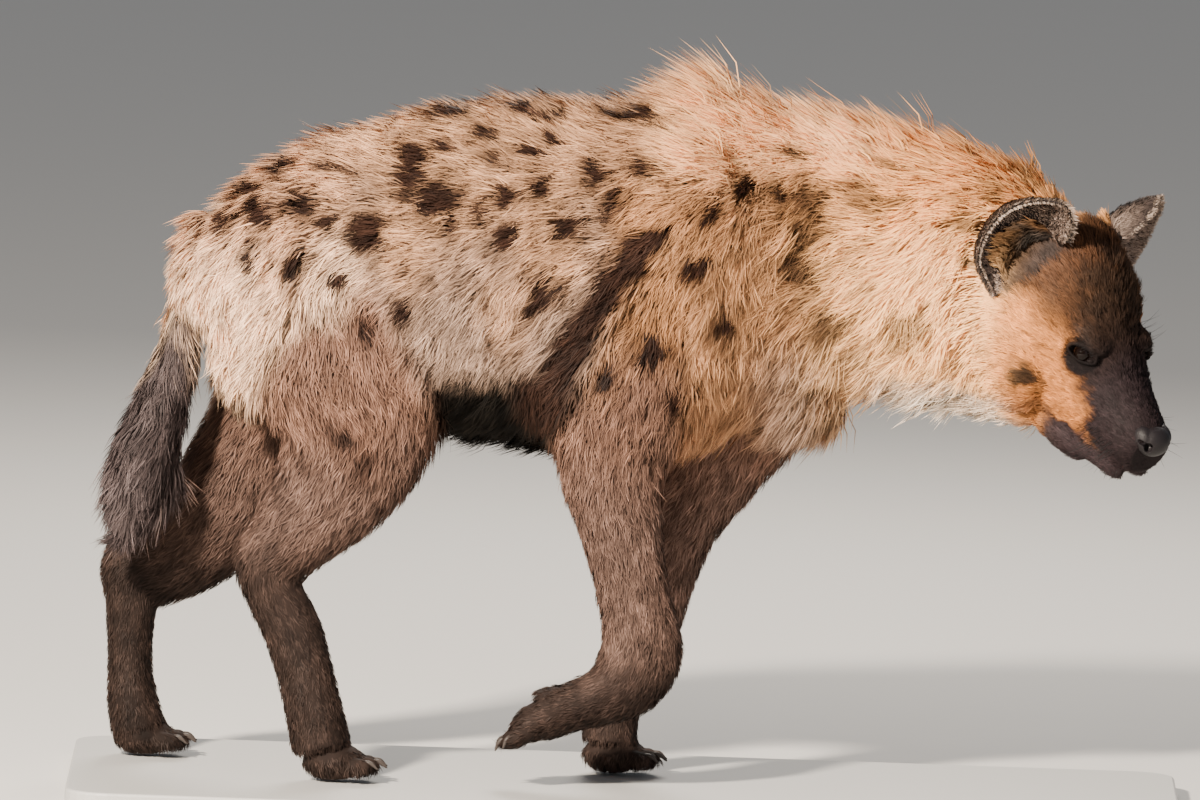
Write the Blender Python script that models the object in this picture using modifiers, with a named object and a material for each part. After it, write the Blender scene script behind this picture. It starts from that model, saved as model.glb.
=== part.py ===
"""Spotted hyena at a slow walk, one forepaw lifted, life size, on a flat display base.

Metres, +Z up, +X is where the body points, +Y is the animal's left. The origin is under the
middle of the base. Places on the animal are given from its soles, which stand STAND above it.
"""
import math
import random

import bmesh
import bpy
from mathutils import Matrix, Vector
from mathutils.bvhtree import BVHTree

# Driving sizes of the base and of the gaps between pieces
BASE_LENGTH = 1.30
BASE_WIDTH = 0.56
BASE_THICK = 0.020
BASE_CORNER = 0.050
BASE_EDGE = 0.003
TOUCH_GAP = 0.0003
SEAM_GAP = 0.0005
STAND = BASE_THICK + TOUCH_GAP

# How far out the core under the locks reaches, as a share of the coat that is long enough
# to be made as locks
CORE_SHARE = 0.5
SHORT_COAT = 0.012

# Size of the cells that fuse the forms, and the triangles that each fused form keeps
BODY_CELL = 0.006
HEAD_CELL = 0.0035
PAW_CELL = 0.0035
BODY_FACES = 3300
HEAD_FACES = 2300
PAW_FACES = 300
TAIL_FACES = 200

# The head points right of the body and down: atlas, forward, left and up
ATLAS = Vector((0.450, -0.070, 0.600))
HEAD_FORWARD = Vector((0.542, -0.640, -0.545)).normalized()
HEAD_UP = HEAD_FORWARD.cross(Vector((0.760, 0.650, 0.060))).normalized()
HEAD_LEFT = HEAD_UP.cross(HEAD_FORWARD).normalized()

# Each row of the trunk: x, top, underside, half width, depth of coat
TORSO = (
    (-0.534, 0.602, 0.560, 0.030, 0.020),
    (-0.506, 0.640, 0.510, 0.068, 0.025),
    (-0.460, 0.695, 0.465, 0.100, 0.030),
    (-0.400, 0.735, 0.440, 0.118, 0.035),
    (-0.300, 0.769, 0.420, 0.132, 0.038),
    (-0.200, 0.795, 0.402, 0.143, 0.038),
    (-0.100, 0.800, 0.388, 0.150, 0.040),
    (0.000, 0.800, 0.384, 0.150, 0.040),
    (0.080, 0.812, 0.398, 0.138, 0.045),
    (0.140, 0.800, 0.430, 0.122, 0.050),
    (0.200, 0.790, 0.470, 0.108, 0.050),
)

# Each row of the neck: x, y, z of its middle, half width, half depth, depth of coat
NECK = (
    (0.060, 0.000, 0.600, 0.125, 0.190, 0.050),
    (0.160, 0.000, 0.615, 0.116, 0.178, 0.055),
    (0.250, -0.004, 0.632, 0.104, 0.156, 0.055),
    (0.325, -0.020, 0.616, 0.098, 0.150, 0.050),
    (0.390, -0.040, 0.606, 0.094, 0.152, 0.040),
    (0.450, -0.070, 0.575, 0.088, 0.126, 0.025),
    (0.490, -0.110, 0.566, 0.080, 0.102, 0.015),
)

# Each row of a leg: x, y, z of its middle, half width, half depth, depth of coat
HIND_RIGHT = (
    (-0.350, -0.070, 0.600, 0.050, 0.100, 0.020),
    (-0.342, -0.086, 0.490, 0.054, 0.112, 0.022),
    (-0.328, -0.094, 0.415, 0.050, 0.096, 0.018),
    (-0.354, -0.092, 0.345, 0.043, 0.074, 0.012),
    (-0.392, -0.089, 0.293, 0.037, 0.053, 0.010),
    (-0.422, -0.086, 0.254, 0.031, 0.043, 0.008),
    (-0.416, -0.085, 0.220, 0.028, 0.036, 0.007),
    (-0.393, -0.085, 0.172, 0.027, 0.036, 0.006),
    (-0.376, -0.086, 0.120, 0.030, 0.034, 0.006),
    (-0.364, -0.087, 0.075, 0.034, 0.035, 0.006),
    (-0.356, -0.087, 0.040, 0.036, 0.036, 0.005),
)
HIND_LEFT = (
    (-0.355, 0.070, 0.590, 0.050, 0.100, 0.020),
    (-0.385, 0.086, 0.470, 0.054, 0.106, 0.022),
    (-0.430, 0.094, 0.380, 0.048, 0.084, 0.018),
    (-0.488, 0.097, 0.290, 0.042, 0.072, 0.012),
    (-0.541, 0.098, 0.241, 0.036, 0.060, 0.010),
    (-0.579, 0.098, 0.222, 0.031, 0.048, 0.008),
    (-0.585, 0.098, 0.190, 0.028, 0.035, 0.007),
    (-0.587, 0.098, 0.135, 0.026, 0.028, 0.006),
    (-0.585, 0.098, 0.090, 0.028, 0.028, 0.006),
    (-0.581, 0.098, 0.060, 0.033, 0.031, 0.006),
    (-0.574, 0.098, 0.034, 0.035, 0.033, 0.005),
)
FORE_RIGHT = (
    (0.030, -0.085, 0.600, 0.046, 0.105, 0.022),
    (-0.012, -0.096, 0.470, 0.050, 0.086, 0.020),
    (-0.027, -0.096, 0.385, 0.045, 0.066, 0.016),
    (-0.016, -0.093, 0.315, 0.038, 0.051, 0.012),
    (-0.003, -0.090, 0.255, 0.034, 0.045, 0.010),
    (0.009, -0.088, 0.205, 0.033, 0.045, 0.008),
    (0.014, -0.087, 0.165, 0.034, 0.050, 0.007),
    (-0.002, -0.087, 0.130, 0.034, 0.046, 0.006),
    (-0.034, -0.087, 0.108, 0.033, 0.034, 0.006),
    (-0.066, -0.087, 0.096, 0.034, 0.030, 0.006),
    (-0.098, -0.087, 0.086, 0.036, 0.032, 0.005),
)
FORE_LEFT = (
    (0.080, 0.080, 0.600, 0.046, 0.100, 0.022),
    (0.118, 0.086, 0.470, 0.050, 0.098, 0.020),
    (0.094, 0.083, 0.385, 0.044, 0.072, 0.016),
    (0.062, 0.079, 0.305, 0.037, 0.045, 0.012),
    (0.042, 0.076, 0.245, 0.033, 0.038, 0.010),
    (0.024, 0.075, 0.175, 0.033, 0.035, 0.008),
    (0.000, 0.075, 0.120, 0.030, 0.031, 0.006),
    (-0.016, 0.075, 0.075, 0.033, 0.032, 0.006),
    (-0.020, 0.075, 0.040, 0.036, 0.034, 0.005),
)

# Each row of the tail: x, y, z of its middle, half width, half depth, depth of coat
TAIL = (
    (-0.490, 0.000, 0.645, 0.026, 0.030, 0.008),
    (-0.512, 0.000, 0.605, 0.026, 0.028, 0.009),
    (-0.530, 0.000, 0.550, 0.022, 0.022, 0.010),
    (-0.537, 0.000, 0.500, 0.026, 0.027, 0.016),
    (-0.551, 0.000, 0.450, 0.029, 0.031, 0.020),
    (-0.566, 0.002, 0.400, 0.032, 0.038, 0.024),
    (-0.574, 0.002, 0.355, 0.033, 0.042, 0.027),
    (-0.584, 0.002, 0.315, 0.027, 0.034, 0.024),
    (-0.594, 0.002, 0.280, 0.014, 0.017, 0.012),
    (-0.600, 0.002, 0.258, 0.004, 0.005, 0.003),
)

# Muscles that stand out of the limbs: middle, radii, turn about Y in degrees, depth of coat
MUSCLES = (
    ((0.045, -0.098, 0.620), (0.085, 0.048, 0.150), 14, 0.030),
    ((0.085, 0.098, 0.620), (0.085, 0.048, 0.150), 14, 0.030),
    ((-0.020, -0.104, 0.500), (0.090, 0.044, 0.085), 0, 0.024),
    ((0.085, 0.096, 0.500), (0.088, 0.044, 0.085), 0, 0.024),
    ((-0.365, -0.088, 0.560), (0.105, 0.050, 0.135), -12, 0.026),
    ((-0.375, 0.088, 0.560), (0.105, 0.050, 0.130), 6, 0.026),
    ((-0.452, -0.070, 0.520), (0.052, 0.036, 0.095), -10, 0.022),
    ((-0.455, 0.070, 0.520), (0.052, 0.036, 0.095), 6, 0.022),
    ((0.182, 0.000, 0.488), (0.074, 0.072, 0.062), 38, 0.030),
)

# Each row of the head: forward of the atlas, top, underside, half width, depth of coat
HEAD = (
    (-0.030, 0.100, -0.108, 0.074, 0.020),
    (0.020, 0.134, -0.117, 0.083, 0.018),
    (0.055, 0.144, -0.116, 0.086, 0.014),
    (0.095, 0.128, -0.110, 0.080, 0.010),
    (0.130, 0.100, -0.100, 0.069, 0.007),
    (0.165, 0.070, -0.090, 0.057, 0.005),
    (0.200, 0.046, -0.080, 0.046, 0.004),
    (0.232, 0.031, -0.069, 0.039, 0.003),
    (0.256, 0.022, -0.059, 0.034, 0.002),
    (0.277, 0.011, -0.047, 0.026, 0.001),
)

# Share by which the skull narrows towards its crown, and where this ends towards the face
HEAD_NARROWS = 0.26
NARROW_UNTIL = 0.115
NARROW_FADE = 0.050

# Bulges of the head: forward, left, up, their radii, depth of coat; the right side mirrors
CHEEK = ((0.085, 0.060, -0.030), (0.062, 0.034, 0.056), 0.008)
JAW = ((0.085, 0.040, -0.080), (0.055, 0.028, 0.026), 0.008)
JAW_FRONT = ((0.155, 0.027, -0.070), (0.064, 0.023, 0.022), 0.004)
BROW = ((0.150, 0.030, 0.052), (0.028, 0.016, 0.011), 0.002)
LIP_PAD = ((0.238, 0.021, -0.022), (0.032, 0.017, 0.022), 0.002)
LOWER_LIP = ((0.207, 0.017, -0.058), (0.055, 0.018, 0.015), 0.002)
HEAD_BULGES = (CHEEK, JAW, JAW_FRONT, BROW, LIP_PAD, LOWER_LIP)

# Eye, lids, nose and mouth, all measured along the head
EYE_AT = (0.1565, 0.0430, 0.0400)
EYE_RADIUS = 0.0135
EYE_LOOKS = (0.52, 0.82, 0.22)
LID_HALF_WIDTH = 0.0188
LID_HALF_HEIGHT = 0.0100
LID_THICK = 0.0030
NOSE_AT = (0.2745, 0.0, -0.002)
NOSE_RADII = (0.018, 0.0260, 0.0205)
NOSTRIL_AT = (0.2880, 0.0165, -0.003)
NOSTRIL_RADII = (0.0065, 0.0042, 0.0052)
MOUTH_CORNER = (0.1525, -0.0600)
MOUTH_FRONT = (0.258, -0.041)
MOUTH_DEEP = 0.0026

# Ear: points of its rim and of its foot, each from its rear round to its front edge, how far
# its middle bulges back, and the rim of the far ear, which is turned further out
EAR_RIM = (
    (0.031, 0.085, 0.028),
    (0.007, 0.110, 0.065),
    (0.010, 0.115, 0.123),
    (0.030, 0.102, 0.166),
    (0.062, 0.076, 0.188),
    (0.072, 0.060, 0.166),
    (0.060, 0.045, 0.126),
)
EAR_FOOT = (
    (0.036, 0.066, 0.040),
    (0.018, 0.068, 0.055),
    (0.010, 0.062, 0.080),
    (0.012, 0.052, 0.098),
    (0.024, 0.044, 0.110),
    (0.040, 0.040, 0.116),
    (0.052, 0.036, 0.114),
)
EAR_BULGE = (-0.90, 0.10, -0.10)
FAR_EAR_RIM = (
    (0.034, 0.090, 0.026),
    (0.022, 0.124, 0.064),
    (0.022, 0.127, 0.120),
    (0.037, 0.105, 0.156),
    (0.060, 0.073, 0.179),
    (0.070, 0.060, 0.162),
    (0.060, 0.046, 0.126),
)
EAR_CUPS = {-1.0: 0.026, 1.0: 0.012}
EAR_ROUND_ACROSS = 0.5
EAR_ROUND_ALONG = 0.8
EAR_THICK = 0.0055
EAR_STEPS = 2
EAR_LEVELS = 6

# A lock: how far along it each ring sits, its width and thickness there as shares, and its
# height above the core as a share of the room for the coat
LOCK_ALONG = (0.0, 0.28, 0.60, 0.86, 1.0)
LOCK_WIDTHS = (0.70, 1.00, 0.90, 0.50)
LOCK_THICKNESSES = (1.00, 1.00, 0.80, 0.60)
LOCK_HEIGHTS = (0.0, 0.34, 0.72, 0.94, 1.05)
LOCK_THICK = 0.0075
LOCK_SUNK = 0.012
LOCK_SEED = 7

# Rows of locks on the trunk: degrees from the spine, first and last x, number, length, width,
# degrees that they fall below straight back, height of their tips
TORSO_LOCKS = (
    (0.0, 0.075, -0.445, 9, 0.114, 0.048, 0.0, 0.018),
    (30.0, 0.080, -0.430, 7, 0.128, 0.058, 10.0, 0.015),
    (58.0, 0.050, -0.450, 7, 0.130, 0.060, 20.0, 0.015),
    (86.0, 0.000, -0.385, 6, 0.128, 0.060, 32.0, 0.016),
)
NECK_LOCKS = (
    (0.0, 0.420, 0.145, 8, 0.114, 0.044, 0.0, 0.027),
    (33.0, 0.400, 0.195, 5, 0.124, 0.052, 16.0, 0.021),
    (64.0, 0.395, 0.165, 5, 0.120, 0.054, 32.0, 0.020),
    (98.0, 0.385, 0.205, 4, 0.108, 0.050, 46.0, 0.019),
    (152.0, 0.405, 0.270, 4, 0.078, 0.032, 60.0, 0.020),
    (0.0, 0.172, 0.130, 3, 0.078, 0.040, 0.0, 0.056),
)
# Rings of locks round the tail: height, number, length, width
TAIL_LOCKS = (
    (0.500, 4, 0.085, 0.022),
    (0.445, 4, 0.095, 0.026),
    (0.385, 4, 0.090, 0.026),
)
TAIL_LOCK_RISE = 0.014

# Toes: number, radii, spread and the claw at each tip
TOES = 4
TOE_RADII = (0.0200, 0.0105, 0.0120)
TOE_SPREAD = 0.0165
CLAW_LENGTH = 0.019
CLAW_RADIUS = 0.0034

# Outlines in X and Z of the cuts that part each leg from the trunk, and how near the middle
# they come
HIND_RIGHT_CUT = (
    (-0.205, 0.380), (-0.232, 0.455), (-0.285, 0.515), (-0.355, 0.540), (-0.425, 0.525),
    (-0.485, 0.475), (-0.540, 0.400), (-0.600, -0.100), (-0.205, -0.100),
)
HIND_LEFT_CUT = (
    (-0.225, 0.380), (-0.252, 0.455), (-0.305, 0.515), (-0.370, 0.535), (-0.440, 0.515),
    (-0.500, 0.470), (-0.700, 0.420), (-0.700, -0.100), (-0.225, -0.100),
)
FORE_RIGHT_CUT = (
    (-0.170, 0.330), (-0.150, 0.430), (-0.095, 0.495), (-0.010, 0.520), (0.070, 0.485),
    (0.105, 0.410), (0.140, -0.100), (-0.220, -0.100),
)
FORE_LEFT_CUT = (
    (-0.050, 0.330), (-0.030, 0.430), (0.030, 0.495), (0.110, 0.525), (0.195, 0.500),
    (0.260, 0.430), (0.260, -0.100), (-0.120, -0.100),
)
LEG_INNER = 0.024
LEG_OUTER = 0.400

# Planes that part the neck from the trunk, the head from the neck and the tail from the rump
NECK_SEAM = (Vector((0.165, 0.0, 0.640)), Vector((0.916, 0.0, 0.400)))
HEAD_SEAM = (Vector((0.436, -0.062, 0.600)), Vector((0.880, -0.450, -0.150)))
TAIL_SEAM = (Vector((-0.518, 0.0, 0.588)), Vector((-0.300, 0.0, -0.954)))
FAR = 1.0

# Colours of the materials, read from the animal in daylight
TAN = (0.42, 0.29, 0.17, 1.0)
GOLD = (0.50, 0.30, 0.13, 1.0)
BROWN = (0.14, 0.085, 0.055, 1.0)
DARK = (0.030, 0.022, 0.018, 1.0)
EYE_BLACK = (0.012, 0.008, 0.006, 1.0)
NOSE_BLACK = (0.015, 0.013, 0.013, 1.0)
GREY = (0.46, 0.45, 0.43, 1.0)

RING_SIDES = 28
STEPS_PER_ROW = 5


def clear_scene():
    """Remove every object, so that the script starts from nothing."""
    for obj in list(bpy.data.objects):
        bpy.data.objects.remove(obj, do_unlink=True)


def new_collection(name):
    """Make a collection in the scene."""
    group = bpy.data.collections.new(name)
    bpy.context.scene.collection.children.link(group)
    return group


def new_object(name, form, group):
    """Turn a bmesh into an object of the group and free the bmesh."""
    bmesh.ops.recalc_face_normals(form, faces=form.faces)
    mesh = bpy.data.meshes.new(name)
    form.to_mesh(mesh)
    form.free()
    obj = bpy.data.objects.new(name, mesh)
    group.objects.link(obj)
    return obj


def settle(obj):
    """Apply the object's modifiers to its mesh."""
    depsgraph = bpy.context.evaluated_depsgraph_get()
    mesh = bpy.data.meshes.new_from_object(obj.evaluated_get(depsgraph))
    obj.modifiers.clear()
    obj.data = mesh


def smooth_rows(rows, steps):
    """Pass a smooth curve through the rows, every column alike."""
    table = [Vector(row) for row in rows]
    last = len(table) - 1
    result = []
    for index in range(last):
        before = table[max(index - 1, 0)]
        start = table[index]
        end = table[index + 1]
        after = table[min(index + 2, last)]
        for step in range(steps):
            t = step / steps
            result.append(0.5 * (
                2.0 * start
                + (end - before) * t
                + (2.0 * before - 5.0 * start + 4.0 * end - after) * t * t
                + (3.0 * start - 3.0 * end + after - before) * t * t * t
            ))
    result.append(table[last])
    return result


def add_rings(form, rings):
    """Join rings of points into one closed tube with flat ends."""
    loops = [[form.verts.new(point) for point in ring] for ring in rings]
    count = len(loops[0])
    for lower, upper in zip(loops, loops[1:]):
        for index in range(count):
            following = (index + 1) % count
            form.faces.new((lower[index], lower[following], upper[following], upper[index]))
    form.faces.new(list(reversed(loops[0])))
    form.faces.new(loops[-1])


def lock_room(coat, share):
    """How far the core lies inside the tips of a coat."""
    return max(coat - SHORT_COAT, 0.0) * (1.0 - share)


def add_limb(form, rows, share, sideways=Vector((0.0, 1.0, 0.0))):
    """Sweep an oval along rows of x, y, z, half width, half depth and coat."""
    path = smooth_rows(rows, STEPS_PER_ROW)
    rings = []
    for index, row in enumerate(path):
        ahead = Vector(path[min(index + 1, len(path) - 1)][:3])
        behind = Vector(path[max(index - 1, 0)][:3])
        along = (ahead - behind).normalized()
        side = (sideways - along * sideways.dot(along)).normalized()
        other = along.cross(side)
        inset = lock_room(row[5], share)
        middle = Vector(row[:3])
        rings.append([
            middle
            + side * (row[3] - inset) * math.cos(math.tau * step / RING_SIDES)
            + other * (row[4] - inset) * math.sin(math.tau * step / RING_SIDES)
            for step in range(RING_SIDES)
        ])
    add_rings(form, rings)


def add_ball(form, middle, radii, inset, turn=None):
    """Add an ellipsoid, inset by the coat."""
    place = Matrix.Translation(Vector(middle))
    if turn is not None:
        place = place @ turn
    shrunk = [radius - inset for radius in radii]
    size = Matrix.Diagonal((shrunk[0], shrunk[1], shrunk[2], 1.0))
    bmesh.ops.create_uvsphere(form, u_segments=28, v_segments=18, radius=1.0, matrix=place @ size)


def head_point(forward, left, up):
    """Place a point that is measured along the head."""
    return ATLAS + HEAD_FORWARD * forward + HEAD_LEFT * left + HEAD_UP * up


def head_turn():
    """The head's turn as a matrix."""
    turn = Matrix((HEAD_FORWARD, HEAD_LEFT, HEAD_UP)).transposed()
    return turn.to_4x4()


def add_trunk(form, share):
    """Trunk with its muscles."""
    rows = [
        (x, 0.0, 0.5 * (top + under), wide, 0.5 * (top - under), coat)
        for x, top, under, wide, coat in TORSO
    ]
    path = smooth_rows(rows, STEPS_PER_ROW)
    rings = []
    for x, y, z, wide, deep, coat in path:
        inset = lock_room(coat, share)
        rings.append([
            Vector((
                x,
                y + (wide - inset) * math.cos(math.tau * step / RING_SIDES),
                z + (deep - inset) * math.sin(math.tau * step / RING_SIDES),
            ))
            for step in range(RING_SIDES)
        ])
    add_rings(form, rings)
    for middle, radii, turn, coat in MUSCLES:
        spin = Matrix.Rotation(math.radians(turn), 4, "Y")
        add_ball(form, middle, radii, lock_room(coat, share), spin)


def add_head(form, share):
    """Skull, muzzle, cheeks, brows and lips."""
    rows = smooth_rows(HEAD, STEPS_PER_ROW)
    rings = []
    for forward, top, under, wide, coat in rows:
        inset = lock_room(coat, share)
        middle = 0.5 * (top + under)
        deep = 0.5 * (top - under) - inset
        narrows = HEAD_NARROWS * min(max((NARROW_UNTIL - forward) / NARROW_FADE, 0.0), 1.0)
        rings.append([
            head_point(
                forward,
                (wide - inset) * math.cos(math.tau * step / RING_SIDES)
                * (1.0 - narrows * max(math.sin(math.tau * step / RING_SIDES), 0.0)),
                middle + deep * math.sin(math.tau * step / RING_SIDES),
            )
            for step in range(RING_SIDES)
        ])
    add_rings(form, rings)
    for (forward, left, up), radii, coat in HEAD_BULGES:
        for side in (1.0, -1.0):
            middle = head_point(forward, side * left, up)
            add_ball(form, middle, radii, lock_room(coat, share), head_turn())


def eye_axes(side):
    """Middle of an eye and its outward, upward and sideways directions."""
    forward, left, up = EYE_LOOKS
    out = (HEAD_FORWARD * forward + HEAD_LEFT * left * side + HEAD_UP * up).normalized()
    rise = (HEAD_UP - out * HEAD_UP.dot(out)).normalized()
    middle = head_point(EYE_AT[0], EYE_AT[1] * side, EYE_AT[2])
    return middle, out, rise, rise.cross(out)


def add_lids(form, side):
    """A rim of two lids round an eye."""
    middle, out, rise, across = eye_axes(side)
    count = 20
    sides = 8
    rings = []
    for index in range(count):
        angle = math.tau * index / count
        centre = (
            middle + out * EYE_RADIUS * 0.72
            + across * LID_HALF_WIDTH * math.cos(angle)
            + rise * LID_HALF_HEIGHT * math.sin(angle)
        )
        spoke = (centre - middle).normalized()
        lift = spoke.cross((across * -math.sin(angle) + rise * math.cos(angle)).normalized())
        rings.append([
            centre
            + spoke * LID_THICK * math.cos(math.tau * step / sides)
            + lift * LID_THICK * math.sin(math.tau * step / sides)
            for step in range(sides)
        ])
    loops = [[form.verts.new(point) for point in ring] for ring in rings]
    for index, lower in enumerate(loops):
        upper = loops[(index + 1) % count]
        for step in range(sides):
            following = (step + 1) % sides
            form.faces.new((lower[step], lower[following], upper[following], upper[step]))


def fuse(name, form, group, cell, faces, relax=4):
    """Fuse overlapping forms into one closed, evenly smoothed surface."""
    obj = new_object(name, form, group)
    remesh = obj.modifiers.new("fuse", "REMESH")
    remesh.mode = "VOXEL"
    remesh.voxel_size = cell
    soften = obj.modifiers.new("soften", "SMOOTH")
    soften.factor = 0.5
    soften.iterations = relax
    settle(obj)
    thin_out(obj, faces)
    return obj


def thin_out(obj, faces):
    """Reduce a surface to about the wanted number of triangles."""
    count = sum(len(polygon.vertices) - 2 for polygon in obj.data.polygons)
    if count <= faces:
        return
    reduce = obj.modifiers.new("reduce", "DECIMATE")
    reduce.ratio = faces / count
    settle(obj)


def cut(obj, other, operation, solver="EXACT"):
    """Apply one Boolean with another object."""
    boolean = obj.modifiers.new("cut", "BOOLEAN")
    boolean.operation = operation
    boolean.solver = solver
    boolean.object = other
    settle(obj)


def copy_of(obj, name, group):
    """Copy an object with its own mesh."""
    twin = bpy.data.objects.new(name, obj.data.copy())
    group.objects.link(twin)
    return twin


def keep_largest(obj):
    """Keep only the largest closed surface of a node."""
    form = bmesh.new()
    form.from_mesh(obj.data)
    bmesh.ops.triangulate(form, faces=form.faces)
    left = set(form.faces)
    pieces = []
    while left:
        seed = left.pop()
        piece = {seed}
        edge_of_piece = [seed]
        while edge_of_piece:
            face = edge_of_piece.pop()
            for edge in face.edges:
                for neighbour in edge.link_faces:
                    if neighbour in left:
                        left.discard(neighbour)
                        piece.add(neighbour)
                        edge_of_piece.append(neighbour)
        pieces.append(piece)
    pieces.sort(key=len)
    for piece in pieces[:-1]:
        bmesh.ops.delete(form, geom=list(piece), context="FACES")
    form.to_mesh(obj.data)
    form.free()


def inset_outline(outline, distance):
    """Move each side of a closed outline inwards."""
    area = 0.0
    count = len(outline)
    for index in range(count):
        x0, z0 = outline[index]
        x1, z1 = outline[(index + 1) % count]
        area += x0 * z1 - x1 * z0
    turn = 1.0 if area > 0.0 else -1.0
    result = []
    for index in range(count):
        before = Vector(outline[index - 1])
        here = Vector(outline[index])
        after = Vector(outline[(index + 1) % count])
        first = (here - before).normalized()
        second = (after - here).normalized()
        first_in = Vector((-first.y, first.x)) * turn
        second_in = Vector((-second.y, second.x)) * turn
        bisector = (first_in + second_in).normalized()
        result.append(tuple(here + bisector * distance / bisector.dot(first_in)))
    return result


def prism(name, outline, y_low, y_high, group):
    """A solid with an outline in X and Z, between two values of Y."""
    form = bmesh.new()
    near = [form.verts.new((x, y_low, z)) for x, z in outline]
    far = [form.verts.new((x, y_high, z)) for x, z in outline]
    count = len(outline)
    for index in range(count):
        following = (index + 1) % count
        form.faces.new((near[index], near[following], far[following], far[index]))
    form.faces.new(list(reversed(near)))
    form.faces.new(far)
    return as_cutter(new_object(name, form, group))


def half_space(name, seam, offset, group):
    """A large block on the far side of a seam's plane."""
    point, normal = seam
    turn = normal.to_track_quat("Z", "Y").to_matrix().to_4x4()
    middle = point + normal.normalized() * (offset + 0.5 * FAR)
    form = bmesh.new()
    bmesh.ops.create_cube(form, size=FAR, matrix=Matrix.Translation(middle) @ turn)
    return as_cutter(new_object(name, form, group))


def as_cutter(obj):
    """Mark an object as a tool that is not part of the animal."""
    obj.hide_render = True
    obj.display_type = "WIRE"
    return obj


def grown(obj, distance, group):
    """A copy of an object, swollen along its normals."""
    twin = as_cutter(copy_of(obj, obj.name + "_grown", group))
    swell = twin.modifiers.new("swell", "DISPLACE")
    swell.mid_level = 0.0
    swell.strength = distance
    settle(twin)
    return twin


def carve_clear(obj, other, group, solver="EXACT"):
    """Cut an object clear of its neighbour by the touching gap."""
    for distance in (0.0, TOUCH_GAP):
        swollen = grown(other, distance, group)
        cut(obj, swollen, "DIFFERENCE", solver)
        bpy.data.objects.remove(swollen, do_unlink=True)


def lock_solid(name, surface, root, lie, length, width, height, group):
    """One flat, tapered lock that leaves the core and bends along the lie of the coat."""
    form = bmesh.new()
    rings = []
    for along, raised in zip(LOCK_ALONG, LOCK_HEIGHTS):
        guess = root + lie * length * along
        ground, normal, index, distance = surface.find_nearest(guess)
        lift = height * raised if along > 0.0 else -LOCK_SUNK
        rings.append((ground + normal * lift, normal))
    loops = []
    for index, (wide, thick) in enumerate(zip(LOCK_WIDTHS, LOCK_THICKNESSES)):
        middle, normal = rings[index]
        ahead = rings[index + 1][0]
        along = (ahead - rings[max(index - 1, 0)][0]).normalized()
        side = along.cross(normal).normalized() * 0.5 * width * wide
        upward = side.cross(along).normalized() * 0.5 * LOCK_THICK * thick
        ring = (middle + side, middle + upward, middle - side, middle - upward)
        loops.append([form.verts.new(point) for point in ring])
    tip = form.verts.new(rings[-1][0])
    for lower, upper in zip(loops, loops[1:]):
        for corner in range(4):
            following = (corner + 1) % 4
            form.faces.new((lower[corner], lower[following], upper[following], upper[corner]))
    for corner in range(4):
        form.faces.new((loops[-1][corner], loops[-1][(corner + 1) % 4], tip))
    form.faces.new(loops[0])
    bmesh.ops.triangulate(form, faces=form.faces)
    return as_cutter(new_object(name, form, group))


def turned_down(direction, normal, fall):
    """Turn a direction along the surface downwards by an angle in degrees."""
    flat = (direction - normal * direction.dot(normal)).normalized()
    down = DOWN - normal * DOWN.dot(normal)
    down = (down - flat * down.dot(flat))
    if down.length < 0.05:
        return flat
    angle = math.radians(fall)
    return (flat * math.cos(angle) + down.normalized() * math.sin(angle)).normalized()


def spine_at(x):
    """Middle of the trunk or neck at a place along the body."""
    rows = [(row[0], 0.0, 0.5 * (row[1] + row[2])) for row in TORSO[:-2]]
    rows += [(row[0], row[1], row[2]) for row in NECK[1:-1]]
    for start, end in zip(rows, rows[1:]):
        if start[0] <= x <= end[0]:
            t = (x - start[0]) / (end[0] - start[0])
            return Vector(start).lerp(Vector(end), t)
    return Vector(rows[0]) if x < rows[0][0] else Vector(rows[-1])


def coat_locks(name, rows, node, surface, draw, group):
    """The locks of the trunk or neck, in rows along both sides."""
    own = BVHTree.FromObject(node, bpy.context.evaluated_depsgraph_get())
    for row, (angle, first, last, count, length, width, fall, height) in enumerate(rows):
        for side in ((1.0, -1.0) if angle > 0.0 else (1.0,)):
            for index in range(count):
                t = (index + draw.uniform(-0.25, 0.25)) / max(count - 1, 1)
                x = first + (last - first) * min(max(t, 0.0), 1.0)
                around = math.radians(angle * side + draw.uniform(-6.0, 6.0))
                middle = spine_at(x)
                out = Vector((0.0, math.sin(around), math.cos(around)))
                hit, normal, face, distance = own.ray_cast(middle + out * 0.4, -out)
                if hit is None or (surface.find_nearest(hit)[0] - hit).length > 0.004:
                    continue
                lie = turned_down(Vector((-1.0, 0.0, 0.0)), normal, fall + draw.uniform(-8, 8))
                lock_solid(
                    "%s_%d_%d_%d" % (name, row, index, side), surface, hit, lie,
                    length * draw.uniform(0.88, 1.15), width * draw.uniform(0.88, 1.15),
                    height * draw.uniform(0.85, 1.15), group,
                )


def tail_locks(node, draw, group):
    """The locks of the brush, in rings down the tail."""
    surface = BVHTree.FromObject(node, bpy.context.evaluated_depsgraph_get())
    rows = smooth_rows(TAIL, STEPS_PER_ROW)
    for row, (height, count, length, width) in enumerate(TAIL_LOCKS):
        middle = Vector(min(rows, key=lambda item: abs(item[2] - height))[:3])
        for index in range(count):
            around = math.tau * (index + 0.5 * (row % 2) + draw.uniform(-0.1, 0.1)) / count
            out = Vector((math.cos(around), math.sin(around), 0.0))
            hit, normal, face, distance = surface.ray_cast(middle + out * 0.2, -out)
            if hit is None:
                continue
            lie = turned_down(Vector((-0.25, 0.0, -1.0)), normal, 0.0)
            lock_solid(
                "tail_%d_%d" % (row, index), surface, hit, lie,
                length * draw.uniform(0.9, 1.1), width * draw.uniform(0.9, 1.1),
                TAIL_LOCK_RISE * draw.uniform(0.8, 1.2), group,
            )


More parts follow.
